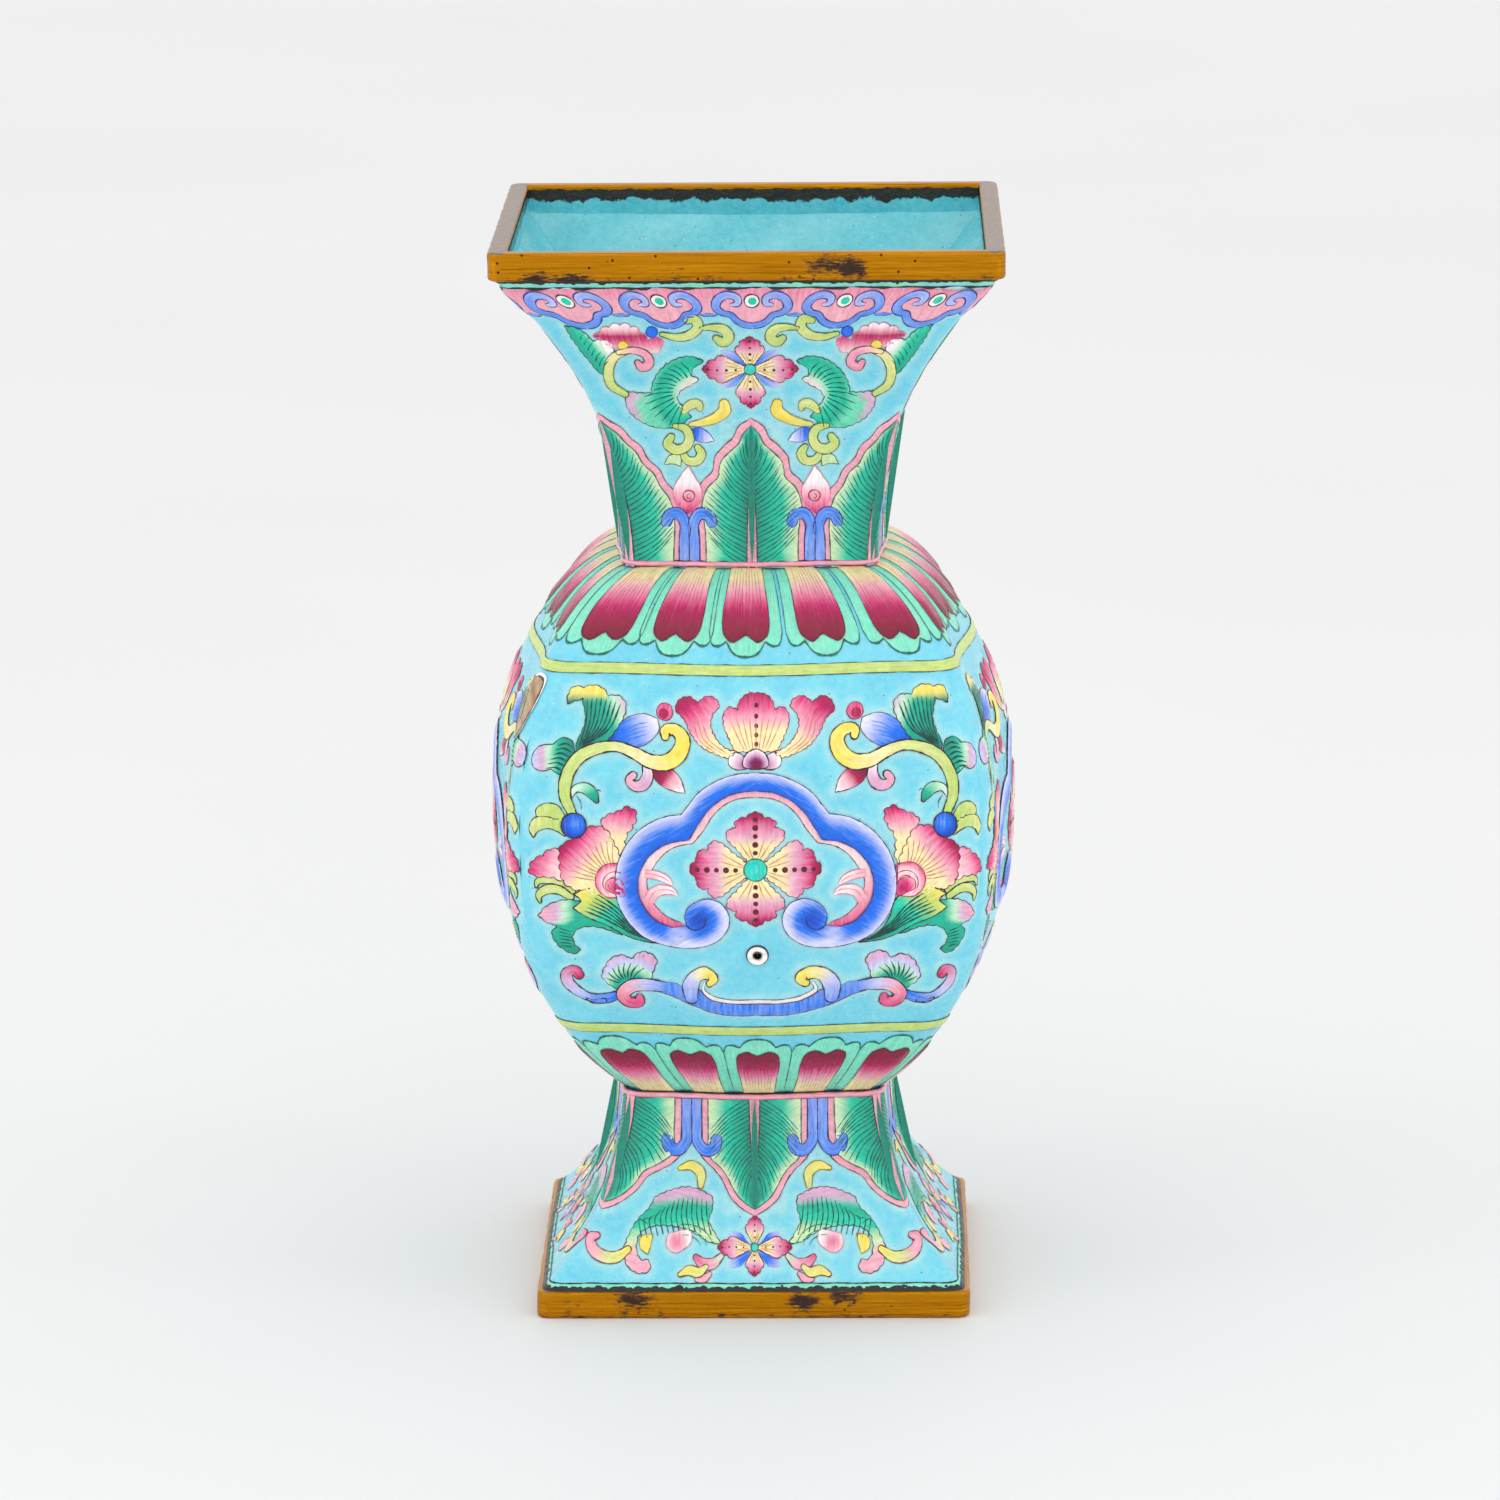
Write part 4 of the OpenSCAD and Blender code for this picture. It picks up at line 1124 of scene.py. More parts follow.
        pen.patch(through(bloom, closed=True, corners=(0, 2, 7)), down(170.8, 176, (0, BLUSH), (0.2, PINK),
            (0.42, ROSE), (0.62, MAGENTA),
                  (0.82, PINK), (1, WHITE)), 1, ROSE, 0.16, along=(0.2, 1), ruffle=(2.0, 0.6))
        pen.dot(21.8, 172.3, 0.95, YELLOW, 2, srgb(180, 130, 50))
        leaf = [(24.2, 165.8), (24.8, 168.6), (23.5, 170.6), (23.7, 172.6), (25.6, 173.3), (27.0, 172.9),
                (28.2, 174.4), (30.4, 175.7),
                (31.6, 175.9), (29.8, 172.6), (27.6, 169.3), (25.8, 167.0)]
        green = ramp((0, WHITE), (0.25, PALE_GREEN), (0.55, JADE), (1, GREEN))
        feather(pen, leaf, (0, 2, 5, 8), (0.6, 1),
                [[(25.3 + 0.62 * i, 167.3 + 1.05 * i), (25.0 + 0.62 * i, 168.5 + 0.95 * i),
                                                     (24.2 + 0.7 * i, 169.6 + 0.78 * i)] for i in range(7)],
                lambda p, d: green(((p - (24.6, 171.5)) @ (1.0, -0.75)) / 3.6))
        pen.blade([(22.6, 170.9, 0.9), (20.2, 171.3, 1.3), (17.9, 170.4, 1.5), (17.4, 168.8, 1.6),
                   (18.7, 168.1, 1.6), (19.4, 169.0, 1.0)],
                  along((0, CREAM), (0.35, PINK), (1, ROSE * 0.5 + PINK * 0.5)), 3, BROWN, 0.18)
        pen.blade([(21.2, 171.0, 0.8), (23.3, 170.1, 1.6), (24.4, 167.7, 1.7), (23.9, 164.7, 1.5),
                   (21.6, 163.0, 1.1)],
                  along((0, CREAM), (0.5, STRAW), (1, LIME)), 2, srgb(90, 90, 50), 0.18)
        outer = [(9.1, 132.0), (9.1, 136), (9.3, 139.5), (10.0, 142.5), (9.6, 144.8), (8.7, 147.0),
                 (6.8, 149.0), (6.3, 151.6), (4.5, 153.8),
                 (3.2, 155.0), (2.2, 157.0), (0, 158.6)]
        inner = [(8.0, 132.0), (8.0, 136), (8.2, 139.5), (8.7, 142.4), (8.4, 144.3), (7.6, 146.2),
                 (5.8, 148.1), (5.3, 150.7), (3.6, 152.8),
                 (2.3, 154.0), (1.3, 156.0), (0, 157.4)]
        half_leaf(pen, outer, inner, 0.9, 132.0, 157.4, 30, 5.6)
    for pen in corners:
        outer = [(8.5, 132.0), (8.8, 136), (9.2, 139.5), (9.3, 142.7), (8.9, 145.2), (7.7, 147.0),
                 (7.1, 149.2), (5.6, 151.2), (5.1, 153.4),
                 (3.8, 154.9), (3.0, 156.8), (1.3, 158.2), (0, 159.4)]
        inner = [(7.4, 132.0), (7.7, 136), (8.1, 139.5), (8.1, 142.2), (7.7, 144.4), (6.6, 146.4),
                 (6.0, 148.6), (4.6, 150.4), (4.0, 152.6),
                 (2.8, 154.2), (2.0, 156.0), (0.9, 157.2), (0, 158.2)]
        half_leaf(pen, outer, inner, 0.9, 132.0, 158.2, 30, 5.6)
    ragged_edge(face, section.length - 0.25, 0.9)


def ragged_edge(face, s, width):
    """Black enamel that has crept unevenly along a frame."""
    section = face.section
    f = np.linspace(-1, 1, 220)
    wobble = 0.12 * np.sin(f * 47) + 0.1 * np.sin(f * 101 + 1) + 0.08 * np.sin(f * 211 + 2)
    line = np.stack([f * section.reach(s), s + wobble * (1 - f**10)], axis=1)
    pen = face.pen(lambda p: p)
    pen.line(line, width, INK * 0.6, 3, taper=(1, 1))
    for i in range(9):
        u = rng.uniform(-0.96, 0.96) * float(section.reach(s))
        inward = -1 if s > section.length / 2 else 1
        pen.dot(u, s + inward * width * rng.uniform(0.3, 0.7), rng.uniform(0.15, 0.4), INK * 0.7, 3,
                rz=rng.uniform(0.15, 0.35))


def draw_foot(face):
    pens = face.mirrored()
    section, up = face.section, face.section.up
    whole = face.pen(lambda p: np.stack([p[:, 0], up(p[:, 1])], axis=1))
    corners = [face.pen(lambda p, m=m: np.stack([m * (section.reach(up(p[:, 1])) - p[:, 0]), up(p[:, 1])],
                                                axis=1))
               for m in (1, -1)]
    for dx, dz in ((1, 1), (-1, 1), (1, -1), (-1, -1)):
        petal(whole, (dx * 0.7, 10.9 + dz * 0.4), (dx * 4.6, 10.9 + dz * 2.5), 0.95,
              towards((0, 10.9), (dx * 4.6, 10.9 + dz * 2.5), (0, PERIWINKLE), (0.5, BLUE), (1, LAVENDER)),
              0, lobes=False, edge=None)
    flower(whole, 0, 11.2, 6.6, 4.9, 1.6, 1, dots=4, low_reach=4.2)
    green = ramp((0, STRAW * 0.5 + PALE_GREEN * 0.5), (0.3, JADE), (0.65, GREEN), (1, JADE))
    for pen in pens:
        plume = [(6.0, 11.7), (7.2, 13.4), (8.2, 15.2), (7.6, 17.2), (7.5, 19.0), (9.3, 19.9), (11.8, 20.5),
                 (15.1, 19.9), (17.6, 18.9),
                 (18.6, 17.2), (20.4, 15.6), (22.2, 13.0), (23.2, 10.3), (22.2, 8.2), (20.2, 7.4),
                 (18.5, 8.0), (18.8, 9.3), (20.2, 9.3),
                 (21.0, 11.0), (20.4, 13.2), (18.4, 14.3), (15.6, 14.5), (13.0, 14.2), (10.6, 13.4),
                 (8.4, 12.2)]

        def shades(p, d):
            colour = green((p[:, 1] - 13.2 + (p[:, 0] - 14) * 0.1) / 6)
            top = (smooth((p[:, 1] - 17.6 + np.abs(p[:, 0] - 12.5) * 0.12) / 2.0) * (p[:, 0] < 19))[:, None]
            colour = colour * (1 - top) + MAUVE * top
            tail = smooth((12.6 - p[:, 1]) / 3.0)[:, None] * (p[:, 0] > 17)[:, None]
            return colour * (1 - tail) + PINK * tail

        strokes = [[(7.7 + 0.95 * i, 13.0 + 0.6 * math.sin(i * 0.33)),
                    (8.4 + 0.92 * i, 15.6 + 0.3 * math.sin(i * 0.3)),
                    (8.6 + 0.80 * i, 18.4 + 0.9 * math.sin(i * 0.28) - 0.02 * i * i)] for i in range(14)]
        feather(pen, plume, (0, 4, 8, 16), (1, 0.2), strokes, shades)
        for i in range(3):
            r = 2.2 + 0.9 * i
            arc = [(12.2 - r * math.cos(a) * 1.2,
                    11.0 + r * math.sin(a) * 0.9) for a in np.radians(np.arange(10, 110, 12))]
            pen.line(through(arc), 0.16, DEEP_GREEN, 2)
        pen.patch(through([(11.4, 13.6), (13.8, 13.5), (15.4, 12.9), (15.6, 11.4), (14.2, 10.4),
                           (12.6, 10.9), (11.2, 12.2)], closed=True),
                  around((13.8, 11.9), 2.3, (0, ROSE), (0.5, PINK), (1, WHITE)), 2, ROSE, 0.16)
        pen.patch(through([(18.0, 13.2), (20.3, 12.5), (20.3, 11.1), (18.9, 10.1), (18.4, 11.6)],
                          closed=True, corners=(0, 3)), YELLOW, 2,
                  srgb(150, 120, 40), 0.16)
        pen.blade([(22.4, 10.8, 1.1), (24.5, 9.7, 1.6), (26.8, 9.8, 1.8), (28.7, 11.1, 1.8),
                   (29.0, 12.5, 1.6), (27.8, 12.9, 1.0)],
                  along((0, YELLOW), (0.4, STRAW), (0.65, PINK), (1, ROSE * 0.3 + PINK * 0.7)), 2, BROWN,
                  0.18)
        pen.blade([(5.9, 9.9, 0.9), (7.4, 8.8, 1.6), (9.4, 8.9, 1.6), (10.4, 9.7, 1.0)],
                  along((0, PALE_GREEN), (0.4, PINK), (1, ROSE)), 1,
                  BROWN, 0.16)
        pen.blade([(8.6, 8.3, 0.8), (9.8, 7.5, 1.4), (11.6, 7.8, 1.4), (13.2, 7.2, 0.7)],
                  along((0, STRAW), (1, YELLOW)), 2, BROWN, 0.16)
        pen.blade([(7.9, 7.3, 0.7), (9.0, 6.6, 1.2), (10.2, 6.5, 0.7)], PINK, 1, BROWN, 0.14)
        pen.blade([(9.6, 20.8, 1.0), (9.6, 22.9, 1.7), (11.2, 24.1, 1.6), (13.3, 23.6, 0.7)],
                  along((0, STRAW), (1, YELLOW)), 2,
                  srgb(120, 110, 50), 0.18)
        post(pen, [(0.9, 36.2, 1.75), (0.9, 31, 1.75), (1.1, 28.1, 1.8), (2.5, 26.7, 2.0), (4.0, 27.2, 2.1),
                   (4.4, 28.6, 1.9)], 11.15)
        outer = [(9.3, 36.2), (9.3, 32), (9.3, 28.5), (9.6, 26.0), (8.7, 24.9), (7.1, 23.5), (5.9, 22.0),
                 (5.0, 20.4), (4.1, 18.8), (2.5, 17.4),
                 (0, 16.0)]
        inner = [(8.2, 36.2), (8.2, 32), (8.2, 28.5), (8.3, 26.4), (7.6, 25.2), (6.2, 24.0), (4.9, 22.4),
                 (4.0, 20.7), (3.0, 19.2), (1.8, 18.1),
                 (0, 17.0)]
        half_leaf(pen, outer, inner, 0.95, 36.2, 17.0, 25, -6.0)
    for pen in corners:
        outer = [(9.0, 36.2), (9.3, 32), (9.6, 29), (10.3, 25.9), (9.3, 24.5), (7.5, 23.3), (5.6, 22.2),
                 (4.8, 20.3), (3.4, 18.6), (1.8, 17.5),
                 (0, 16.8)]
        inner = [(7.8, 36.2), (8.1, 32), (8.4, 29), (9.0, 26.3), (8.1, 25.2), (6.6, 24.1), (4.7, 23.0),
                 (3.9, 21.0), (2.6, 19.3), (1.3, 18.3),
                 (0, 17.8)]
        half_leaf(pen, outer, inner, 0.95, 36.2, 17.8, 25, -6.0)
    ring_band(face, float(up(5.15)), float(up(6.0)), MINT, 0.0, 1, INK, 0.22)
    ragged_edge(face, float(up(5.05)), 1.15)


# ---------------------------------------------------------------- materials

def node(tree, kind, settings=None, **inputs):
    """Adds a node. An input named i0, i1, ... is given by its place, others by their name."""
    n = tree.nodes.new(kind)
    for key, value in (settings or {}).items():
        setattr(n, key, value)
    for key, value in inputs.items():
        socket = n.inputs[int(key[1:])] if key[1:].isdigit() else n.inputs[key.replace("_", " ")]
        if isinstance(value, bpy.types.NodeSocket):
            tree.links.new(value, socket)
        else:
            socket.default_value = value
    return n


def material(name):
    m = bpy.data.materials.new(name)
    m.use_nodes = True
    return m, m.node_tree, m.node_tree.nodes["Principled BSDF"]


def attribute(tree, name, output="Color"):
    n = node(tree, "ShaderNodeAttribute", {"attribute_name": name})
    return n.outputs[output]


def millimetres(tree, stretch=(1, 1, 1)):
    """The place on the object, in millimetres."""
    place = node(tree, "ShaderNodeTexCoord").outputs["Object"]
    scale = tuple(1000 * k for k in stretch)
    return node(tree, "ShaderNodeVectorMath", {"operation": "MULTIPLY"}, i0=place, i1=scale).outputs[0]


def stretched(tree, vector, stretch):
    return node(tree, "ShaderNodeVectorMath", {"operation": "MULTIPLY"}, i0=vector, i1=stretch).outputs[0]


def noise(tree, vector, scale, detail=3.0, rough=0.55, low=0.0, high=1.0, at=(0.3, 0.7)):
    """Noise mapped to low..high between its own values at[0] and at[1]."""
    n = node(tree, "ShaderNodeTexNoise", Vector=vector, Scale=scale, Detail=detail, Roughness=rough)
    return levels(tree, n.outputs[0], at[0], at[1], low, high)


def levels(tree, value, from_low, from_high, low=0.0, high=1.0):
    return node(tree, "ShaderNodeMapRange", i0=value, i1=from_low, i2=from_high, i3=low, i4=high).outputs[0]


def arithmetic(tree, operation, a, b):
    return node(tree, "ShaderNodeMath", {"operation": operation}, i0=a, i1=b).outputs[0]


def blend(tree, factor, a, b):
    """Mixes two colours."""
    n = node(tree, "ShaderNodeMix", {"data_type": "RGBA"}, i0=factor)
    for place, value in ((6, a), (7, b)):
        if isinstance(value, bpy.types.NodeSocket):
            tree.links.new(value, n.inputs[place])
        else:
            n.inputs[place].default_value = (*value, 1)
    return n.outputs[2]


def bump(tree, bsdf, height, strength, distance):
    n = node(tree, "ShaderNodeBump", Strength=strength, Distance=distance * MM, Height=height)
    tree.links.new(n.outputs[0], bsdf.inputs["Normal"])


def specks(tree, vector, scale, size, share):
    """1 in small round specks, of which only a share is kept."""
    cells = node(tree, "ShaderNodeTexVoronoi", Vector=vector, Scale=scale)
    near = levels(tree, cells.outputs["Distance"], size * 0.5, size, 1, 0)
    kept = levels(tree, cells.outputs["Color"], share, share + 0.02, 1, 0)
    return arithmetic(tree, "MULTIPLY", near, kept)


def painted_enamel():
    """Brushed colours from each point's own paint, streaked along the brush."""
    m, tree, bsdf = material("painted_enamel")
    flow = attribute(tree, "flow", "Vector")
    place = millimetres(tree)
    streak = noise(tree, stretched(tree, flow, (0.3, 2.6, 1)), 1.0, 4, 0.6, 0.0, 1.0)
    mottle = noise(tree, place, 0.8, 4, 0.6)
    value = arithmetic(tree, "ADD", arithmetic(tree, "MULTIPLY", streak, 0.3),
                       arithmetic(tree, "MULTIPLY", mottle, 0.22))
    value = arithmetic(tree, "ADD", value, 0.85)
    saturation = noise(tree, stretched(tree, flow, (0.2, 1.7, 1)), 1.3, 3, 0.6, 1.25, 0.92)
    colour = node(tree, "ShaderNodeHueSaturation", Saturation=saturation, Value=value,
                  Color=attribute(tree, "paint")).outputs[0]
    tree.links.new(blend(tree, specks(tree, place, 0.9, 0.16, 0.08), colour, srgb(70, 42, 52)),
                   bsdf.inputs["Base Color"])
    tree.links.new(noise(tree, place, 0.6, 3, 0.5, 0.2, 0.42), bsdf.inputs["Roughness"])
    bsdf.inputs["IOR"].default_value = 1.5
    bump(tree, bsdf, arithmetic(tree, "ADD", streak, mottle), 0.35, 0.08)
    return m


def line_paint():
    m, tree, bsdf = material("line_paint")
    place = millimetres(tree)
    worn = noise(tree, place, 1.1, 4, 0.6, 0.75, 1.6)
    colour = node(tree, "ShaderNodeHueSaturation", Value=worn, Color=attribute(tree, "paint")).outputs[0]
    tree.links.new(colour, bsdf.inputs["Base Color"])
    tree.links.new(noise(tree, place, 0.9, 2, 0.5, 0.25, 0.5), bsdf.inputs["Roughness"])
    return m


def ground_enamel(name, deep, plain, pale, speck_share):
    """Mottled enamel, paler where the halo is, with fine dark specks and pinholes."""
    m, tree, bsdf = material(name)
    place = millimetres(tree)
    clouds = noise(tree, place, 0.16, 4, 0.6)
    fine = noise(tree, place, 0.9, 4, 0.65)
    colour = blend(tree, arithmetic(tree, "MULTIPLY", clouds, 0.85), plain, deep)
    light = arithmetic(tree, "MULTIPLY", attribute(tree, "halo", "Fac"),
                       noise(tree, place, 0.5, 4, 0.6, 0.25, 1.0))
    colour = blend(tree, light, colour, pale)
    colour = blend(tree, arithmetic(tree, "MULTIPLY", fine, 0.3), colour, pale)
    dark = arithmetic(tree, "MULTIPLY", specks(tree, place, 0.75, 0.14, speck_share), 0.75)
    colour = blend(tree, dark, colour, srgb(52, 60, 72))
    white = arithmetic(tree, "MULTIPLY", specks(tree, place, 1.1, 0.2, 0.2), 0.5)
    colour = blend(tree, white, colour, srgb(236, 246, 246))
    soot = arithmetic(tree, "ADD", attribute(tree, "soot", "Fac"),
                      noise(tree, place, 0.35, 4, 0.65, -0.3, 0.3))
    colour = blend(tree, levels(tree, soot, 0.5, 0.62), colour, srgb(44, 34, 26))
    tree.links.new(colour, bsdf.inputs["Base Color"])
    tree.links.new(noise(tree, place, 0.5, 3, 0.5, 0.12, 0.34), bsdf.inputs["Roughness"])
    bsdf.inputs["IOR"].default_value = 1.52
    bump(tree, bsdf, arithmetic(tree, "ADD", clouds, fine), 0.5, 0.16)
    return m


def gilt_copper():
    """Brushed gilding, darkened and worn through where worn is near 1."""
    m, tree, bsdf = material("gilt_copper")
    flow = attribute(tree, "flow", "Vector")
    place = millimetres(tree)
    streak = noise(tree, stretched(tree, flow, (0.05, 2.4, 1)), 1.0, 4, 0.65)
    fine = noise(tree, stretched(tree, flow, (0.3, 5.5, 1)), 1.0, 3, 0.6)
    colour = blend(tree, streak, srgb(138, 78, 0), srgb(214, 142, 6))
    colour = blend(tree, arithmetic(tree, "MULTIPLY", fine, 0.2), colour, srgb(240, 182, 60))
    dull = arithmetic(tree, "ADD", attribute(tree, "dull", "Fac"),
                      noise(tree, place, 0.5, 4, 0.65, -0.35, 0.35))
    dull = levels(tree, dull, 0.35, 0.75)
    colour = blend(tree, dull, colour, blend(tree, fine, srgb(70, 50, 42), srgb(168, 146, 130)))
    ragged = arithmetic(tree, "ADD", noise(tree, place, 0.22, 5, 0.7, -0.4, 0.3),
                        noise(tree, stretched(tree, flow, (0.5, 3.0, 1)), 1.0, 3, 0.6, -0.3, 0.25))
    worn = levels(tree, arithmetic(tree, "ADD", attribute(tree, "worn", "Fac"), ragged), 0.4, 0.66)
    colour = blend(tree, worn, colour, srgb(52, 26, 14))
    colour = blend(tree, specks(tree, place, 0.7, 0.22, 0.16), colour, srgb(60, 36, 20))
    tree.links.new(colour, bsdf.inputs["Base Color"])
    tree.links.new(levels(tree, worn, 0, 1, 1.0, 0.35), bsdf.inputs["Metallic"])
    rough = arithmetic(tree, "ADD", levels(tree, fine, 0, 1, 0.24, 0.4),
                       arithmetic(tree, "MULTIPLY", worn, 0.2))
    tree.links.new(rough, bsdf.inputs["Roughness"])
    bump(tree, bsdf, arithmetic(tree, "ADD", streak, fine), 0.4, 0.07)
    return m


def bare_copper():
    m, tree, bsdf = material("bare_copper")
    place = millimetres(tree)
    colour = blend(tree, noise(tree, place, 0.25, 5, 0.65), srgb(120, 66, 44), srgb(196, 128, 92))
    tree.links.new(colour, bsdf.inputs["Base Color"])
    bsdf.inputs["Metallic"].default_value = 0.9
    tree.links.new(noise(tree, place, 0.6, 3, 0.5, 0.35, 0.6), bsdf.inputs["Roughness"])
    return m


def pale_floor():
    m, tree, bsdf = material("pale_floor")
    place = node(tree, "ShaderNodeTexCoord").outputs["Object"]
    colour = blend(tree, noise(tree, place, 3.0, 2, 0.5), srgb(234, 235, 236), srgb(237, 238, 239))
    tree.links.new(colour, bsdf.inputs["Base Color"])
    bsdf.inputs["Roughness"].default_value = 0.55
    bsdf.inputs["Specular IOR Level"].default_value = 0.2
    return m


PAINTED = painted_enamel()
LINES = line_paint()
TURQUOISE_GROUND = ground_enamel("turquoise_ground", srgb(88, 206, 238), TURQUOISE, srgb(192, 240, 240), 0.2)
LINING = ground_enamel("lining_enamel", srgb(62, 186, 206), srgb(92, 208, 220), srgb(172, 232, 234), 0.4)
GILT = gilt_copper()
COPPER = bare_copper()


# ---------------------------------------------------------------- objects

def add_object(name, points, faces, finish, slot, **attributes):
    """A mesh piece with its named attributes: a value, three values or four for each point."""
    mesh = bpy.data.meshes.new(name)
    mesh.from_pydata(points.tolist(), [], faces)
    for key, values in attributes.items():
        values = np.asarray(values, np.float32)
        if values.ndim == 1:
            mesh.attributes.new(key, "FLOAT", "POINT").data.foreach_set("value", values)
        elif key == "paint":
            values = np.column_stack([values, np.ones(len(values), np.float32)])
            mesh.attributes.new(key, "FLOAT_COLOR", "POINT").data.foreach_set("color", values.ravel())
        else:
            mesh.attributes.new(key, "FLOAT_VECTOR", "POINT").data.foreach_set("vector", values.ravel())
    mesh.shade_smooth()
    mesh.materials.append(finish)
    obj = bpy.data.objects.new(name, mesh)
    bpy.context.scene.collection.objects.link(obj)
    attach(obj, "root")
    return obj


def grid_faces(rows, cols):
    """Quads of a grid stored row by row."""
    return [(i * cols + j, (i + 1) * cols + j, (i + 1) * cols + j + 1, i * cols + j + 1)
            for i in range(rows - 1) for j in range(cols - 1)]


def warped(section, us, shift):
    """A hand's small shift of a face's drawing, which dies out at the corners."""
    share = np.clip(us[:, 0] / section.reach(us[:, 1]), -1, 1)
    return np.stack([us[:, 0] + shift * (1 - share**8), us[:, 1]], axis=1)


def lay_face(face, part, side, shift, hole=None):
    """Adds a side's ground, painted fills and lines."""
    section = face.section
    n, m = round(2 * float(section.reach(section.table).max()) / GRID), round(section.length / GRID)
    f, s = np.meshgrid(np.linspace(-1, 1, n), np.linspace(0, section.length, m), indexing="ij")
    f, s = f.ravel(), s.ravel()
    us = np.stack([f * section.reach(s), s], axis=1)
    d = face.edge_distance(us)
    lift = face.relief(us) - EDGE_DIP * smooth(d / 0.6)
    placed = warped(section, us, shift)
    faces = grid_faces(n, m)
    if hole is not None:
        gap = np.hypot(placed[:, 0] - hole[0], placed[:, 1] - hole[1])
        faces = [q for q in faces if min(gap[list(q)]) > HOLE_CLEARING]
    halo = 1 - smooth(-d / HALO_RUN)
    name = f"{part}_{SIDES[side]}"
    ground = add_object(f"{name}_ground", section.place(side, placed, lift), faces, TURQUOISE_GROUND,
                        "outer_enamel", halo=halo)
    for kind, sheet, finish in (("fills", face.fills, PAINTED), ("lines", face.lines, LINES)):
        us, lift, paint, flow = sheet.arrays()
        points = section.place(side, warped(section, us, shift), face.relief(us) + lift)
        add_object(f"{name}_{kind}", points, sheet.faces, finish, "outer_enamel", paint=paint, flow=flow)
    return ground


def lay_lining(section, part, replaced, depth):
    """A section's lining, seen from inside."""
    n, m = 34, max(16, round(section.length / 2.4))
    points, faces, halo, soot = [], [], [], []
    for side in range(4):
        f, s = np.meshgrid(np.linspace(-1, 1, n), np.linspace(0, section.length, m), indexing="ij")
        us = np.stack([f.ravel() * section.reach(s.ravel()), s.ravel()], axis=1)
        wave = 0.06 * np.sin(us[:, 0] * 0.5 + side) * np.sin(us[:, 1] * 0.4) * (1 - f.ravel() ** 8)
        base = side * n * m
        points.append(section.place(side, us, -depth + wave))
        faces += [tuple(base + i for i in reversed(q)) for q in grid_faces(n, m)]
        halo.append(0.2 + 0.2 * np.sin(us[:, 0] * 0.23 + us[:, 1] * 0.31))
        soot.append(np.zeros(n * m))
    lining = add_object(f"{part}_lining_enamel", np.concatenate(points), faces, LINING, "inner_enamel",
                        halo=np.concatenate(halo), soot=np.concatenate(soot))
    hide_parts(replaced)
    return lining


GRID = 0.65  # spacing of the ground's mesh
HOLE_X, HOLE_Z = 1.2, 66.5  # in the body's front, to the right of the middle and up in the drawing
HOLE_CLEARING = 1.35  # the ground leaves this much free round the hole's axis
HOLE_WAY = 0.7  # radius of the way through the wall
WALL = 1.9  # from the coat's outside to the lining's inside
HALO_RUN = 1.9  # how far a motif's pale halo reaches
EDGE_DIP = 0.3  # the ground sinks this much under a motif
# Each section's coat, drawing and the shift of the drawing on each side.
FACES = {}
for part, node_name, draw, shifts in (
    ("neck", "neck_enamel", draw_neck, (0.4, -0.3, 0.2, -0.4)),
    ("body", "body_enamel", draw_body, (1.0, -0.4, 0.5, -0.7)),
    ("foot", "foot_enamel", draw_foot, (0.2, -0.2, 0.3, -0.1)),
):
    face = Face(Section(node_name))
    draw(face)
    face.measure()
    FACES[part] = face
    for side in range(4):
        hole = (HOLE_X, float(face.section.up(HOLE_Z))) if (part, side) == ("body", 0) else None
        ground = lay_face(face, part, side, shifts[side], hole)
        if side == 0:
            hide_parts(node_name)


# ---------------------------------------------------------------- hole and chip

def hole_ring(face, name):
    """The white-edged hole, with its short way into the wall painted dark as shade, darker the deeper it
    goes.
    """
    section = face.section
    # Radius and lift of each ring, from the outside in and then down the way.
    rings = [(2.0, -0.16), (1.86, 0.1), (1.6, 0.18), (1.15, 0.16), (0.85, 0.04), (HOLE_WAY + 0.02, -0.2),
             (HOLE_WAY, -0.9), (HOLE_WAY, 0.05 - WALL)]
    # From the sixth ring in, the colours are painted shade that deepens down the way into the wall.
    shades = [INK, INK, WHITE, WHITE, srgb(200, 180, 170), INK, INK * 0.6, INK * 0.4]
    n = 36
    points, paint, flow = [], [], []
    for (r, lift), shade in zip(rings, shades):
        us = circle(HOLE_X, float(section.up(HOLE_Z)), r, n=n)
        points.append(section.place(0, us, lift))
        paint.append(np.broadcast_to(shade, (n, 3)))
        flow.append(np.column_stack([us, np.full(n, r)]))
    faces = [(i * n + j, i * n + (j + 1) % n, (i + 1) * n + (j + 1) % n, (i + 1) * n + j)
             for i in range(len(rings) - 1) for j in range(n)]
    return add_object(name, np.concatenate(points), faces, LINES, "outer_enamel", paint=np.concatenate(paint),
                      flow=np.concatenate(flow))


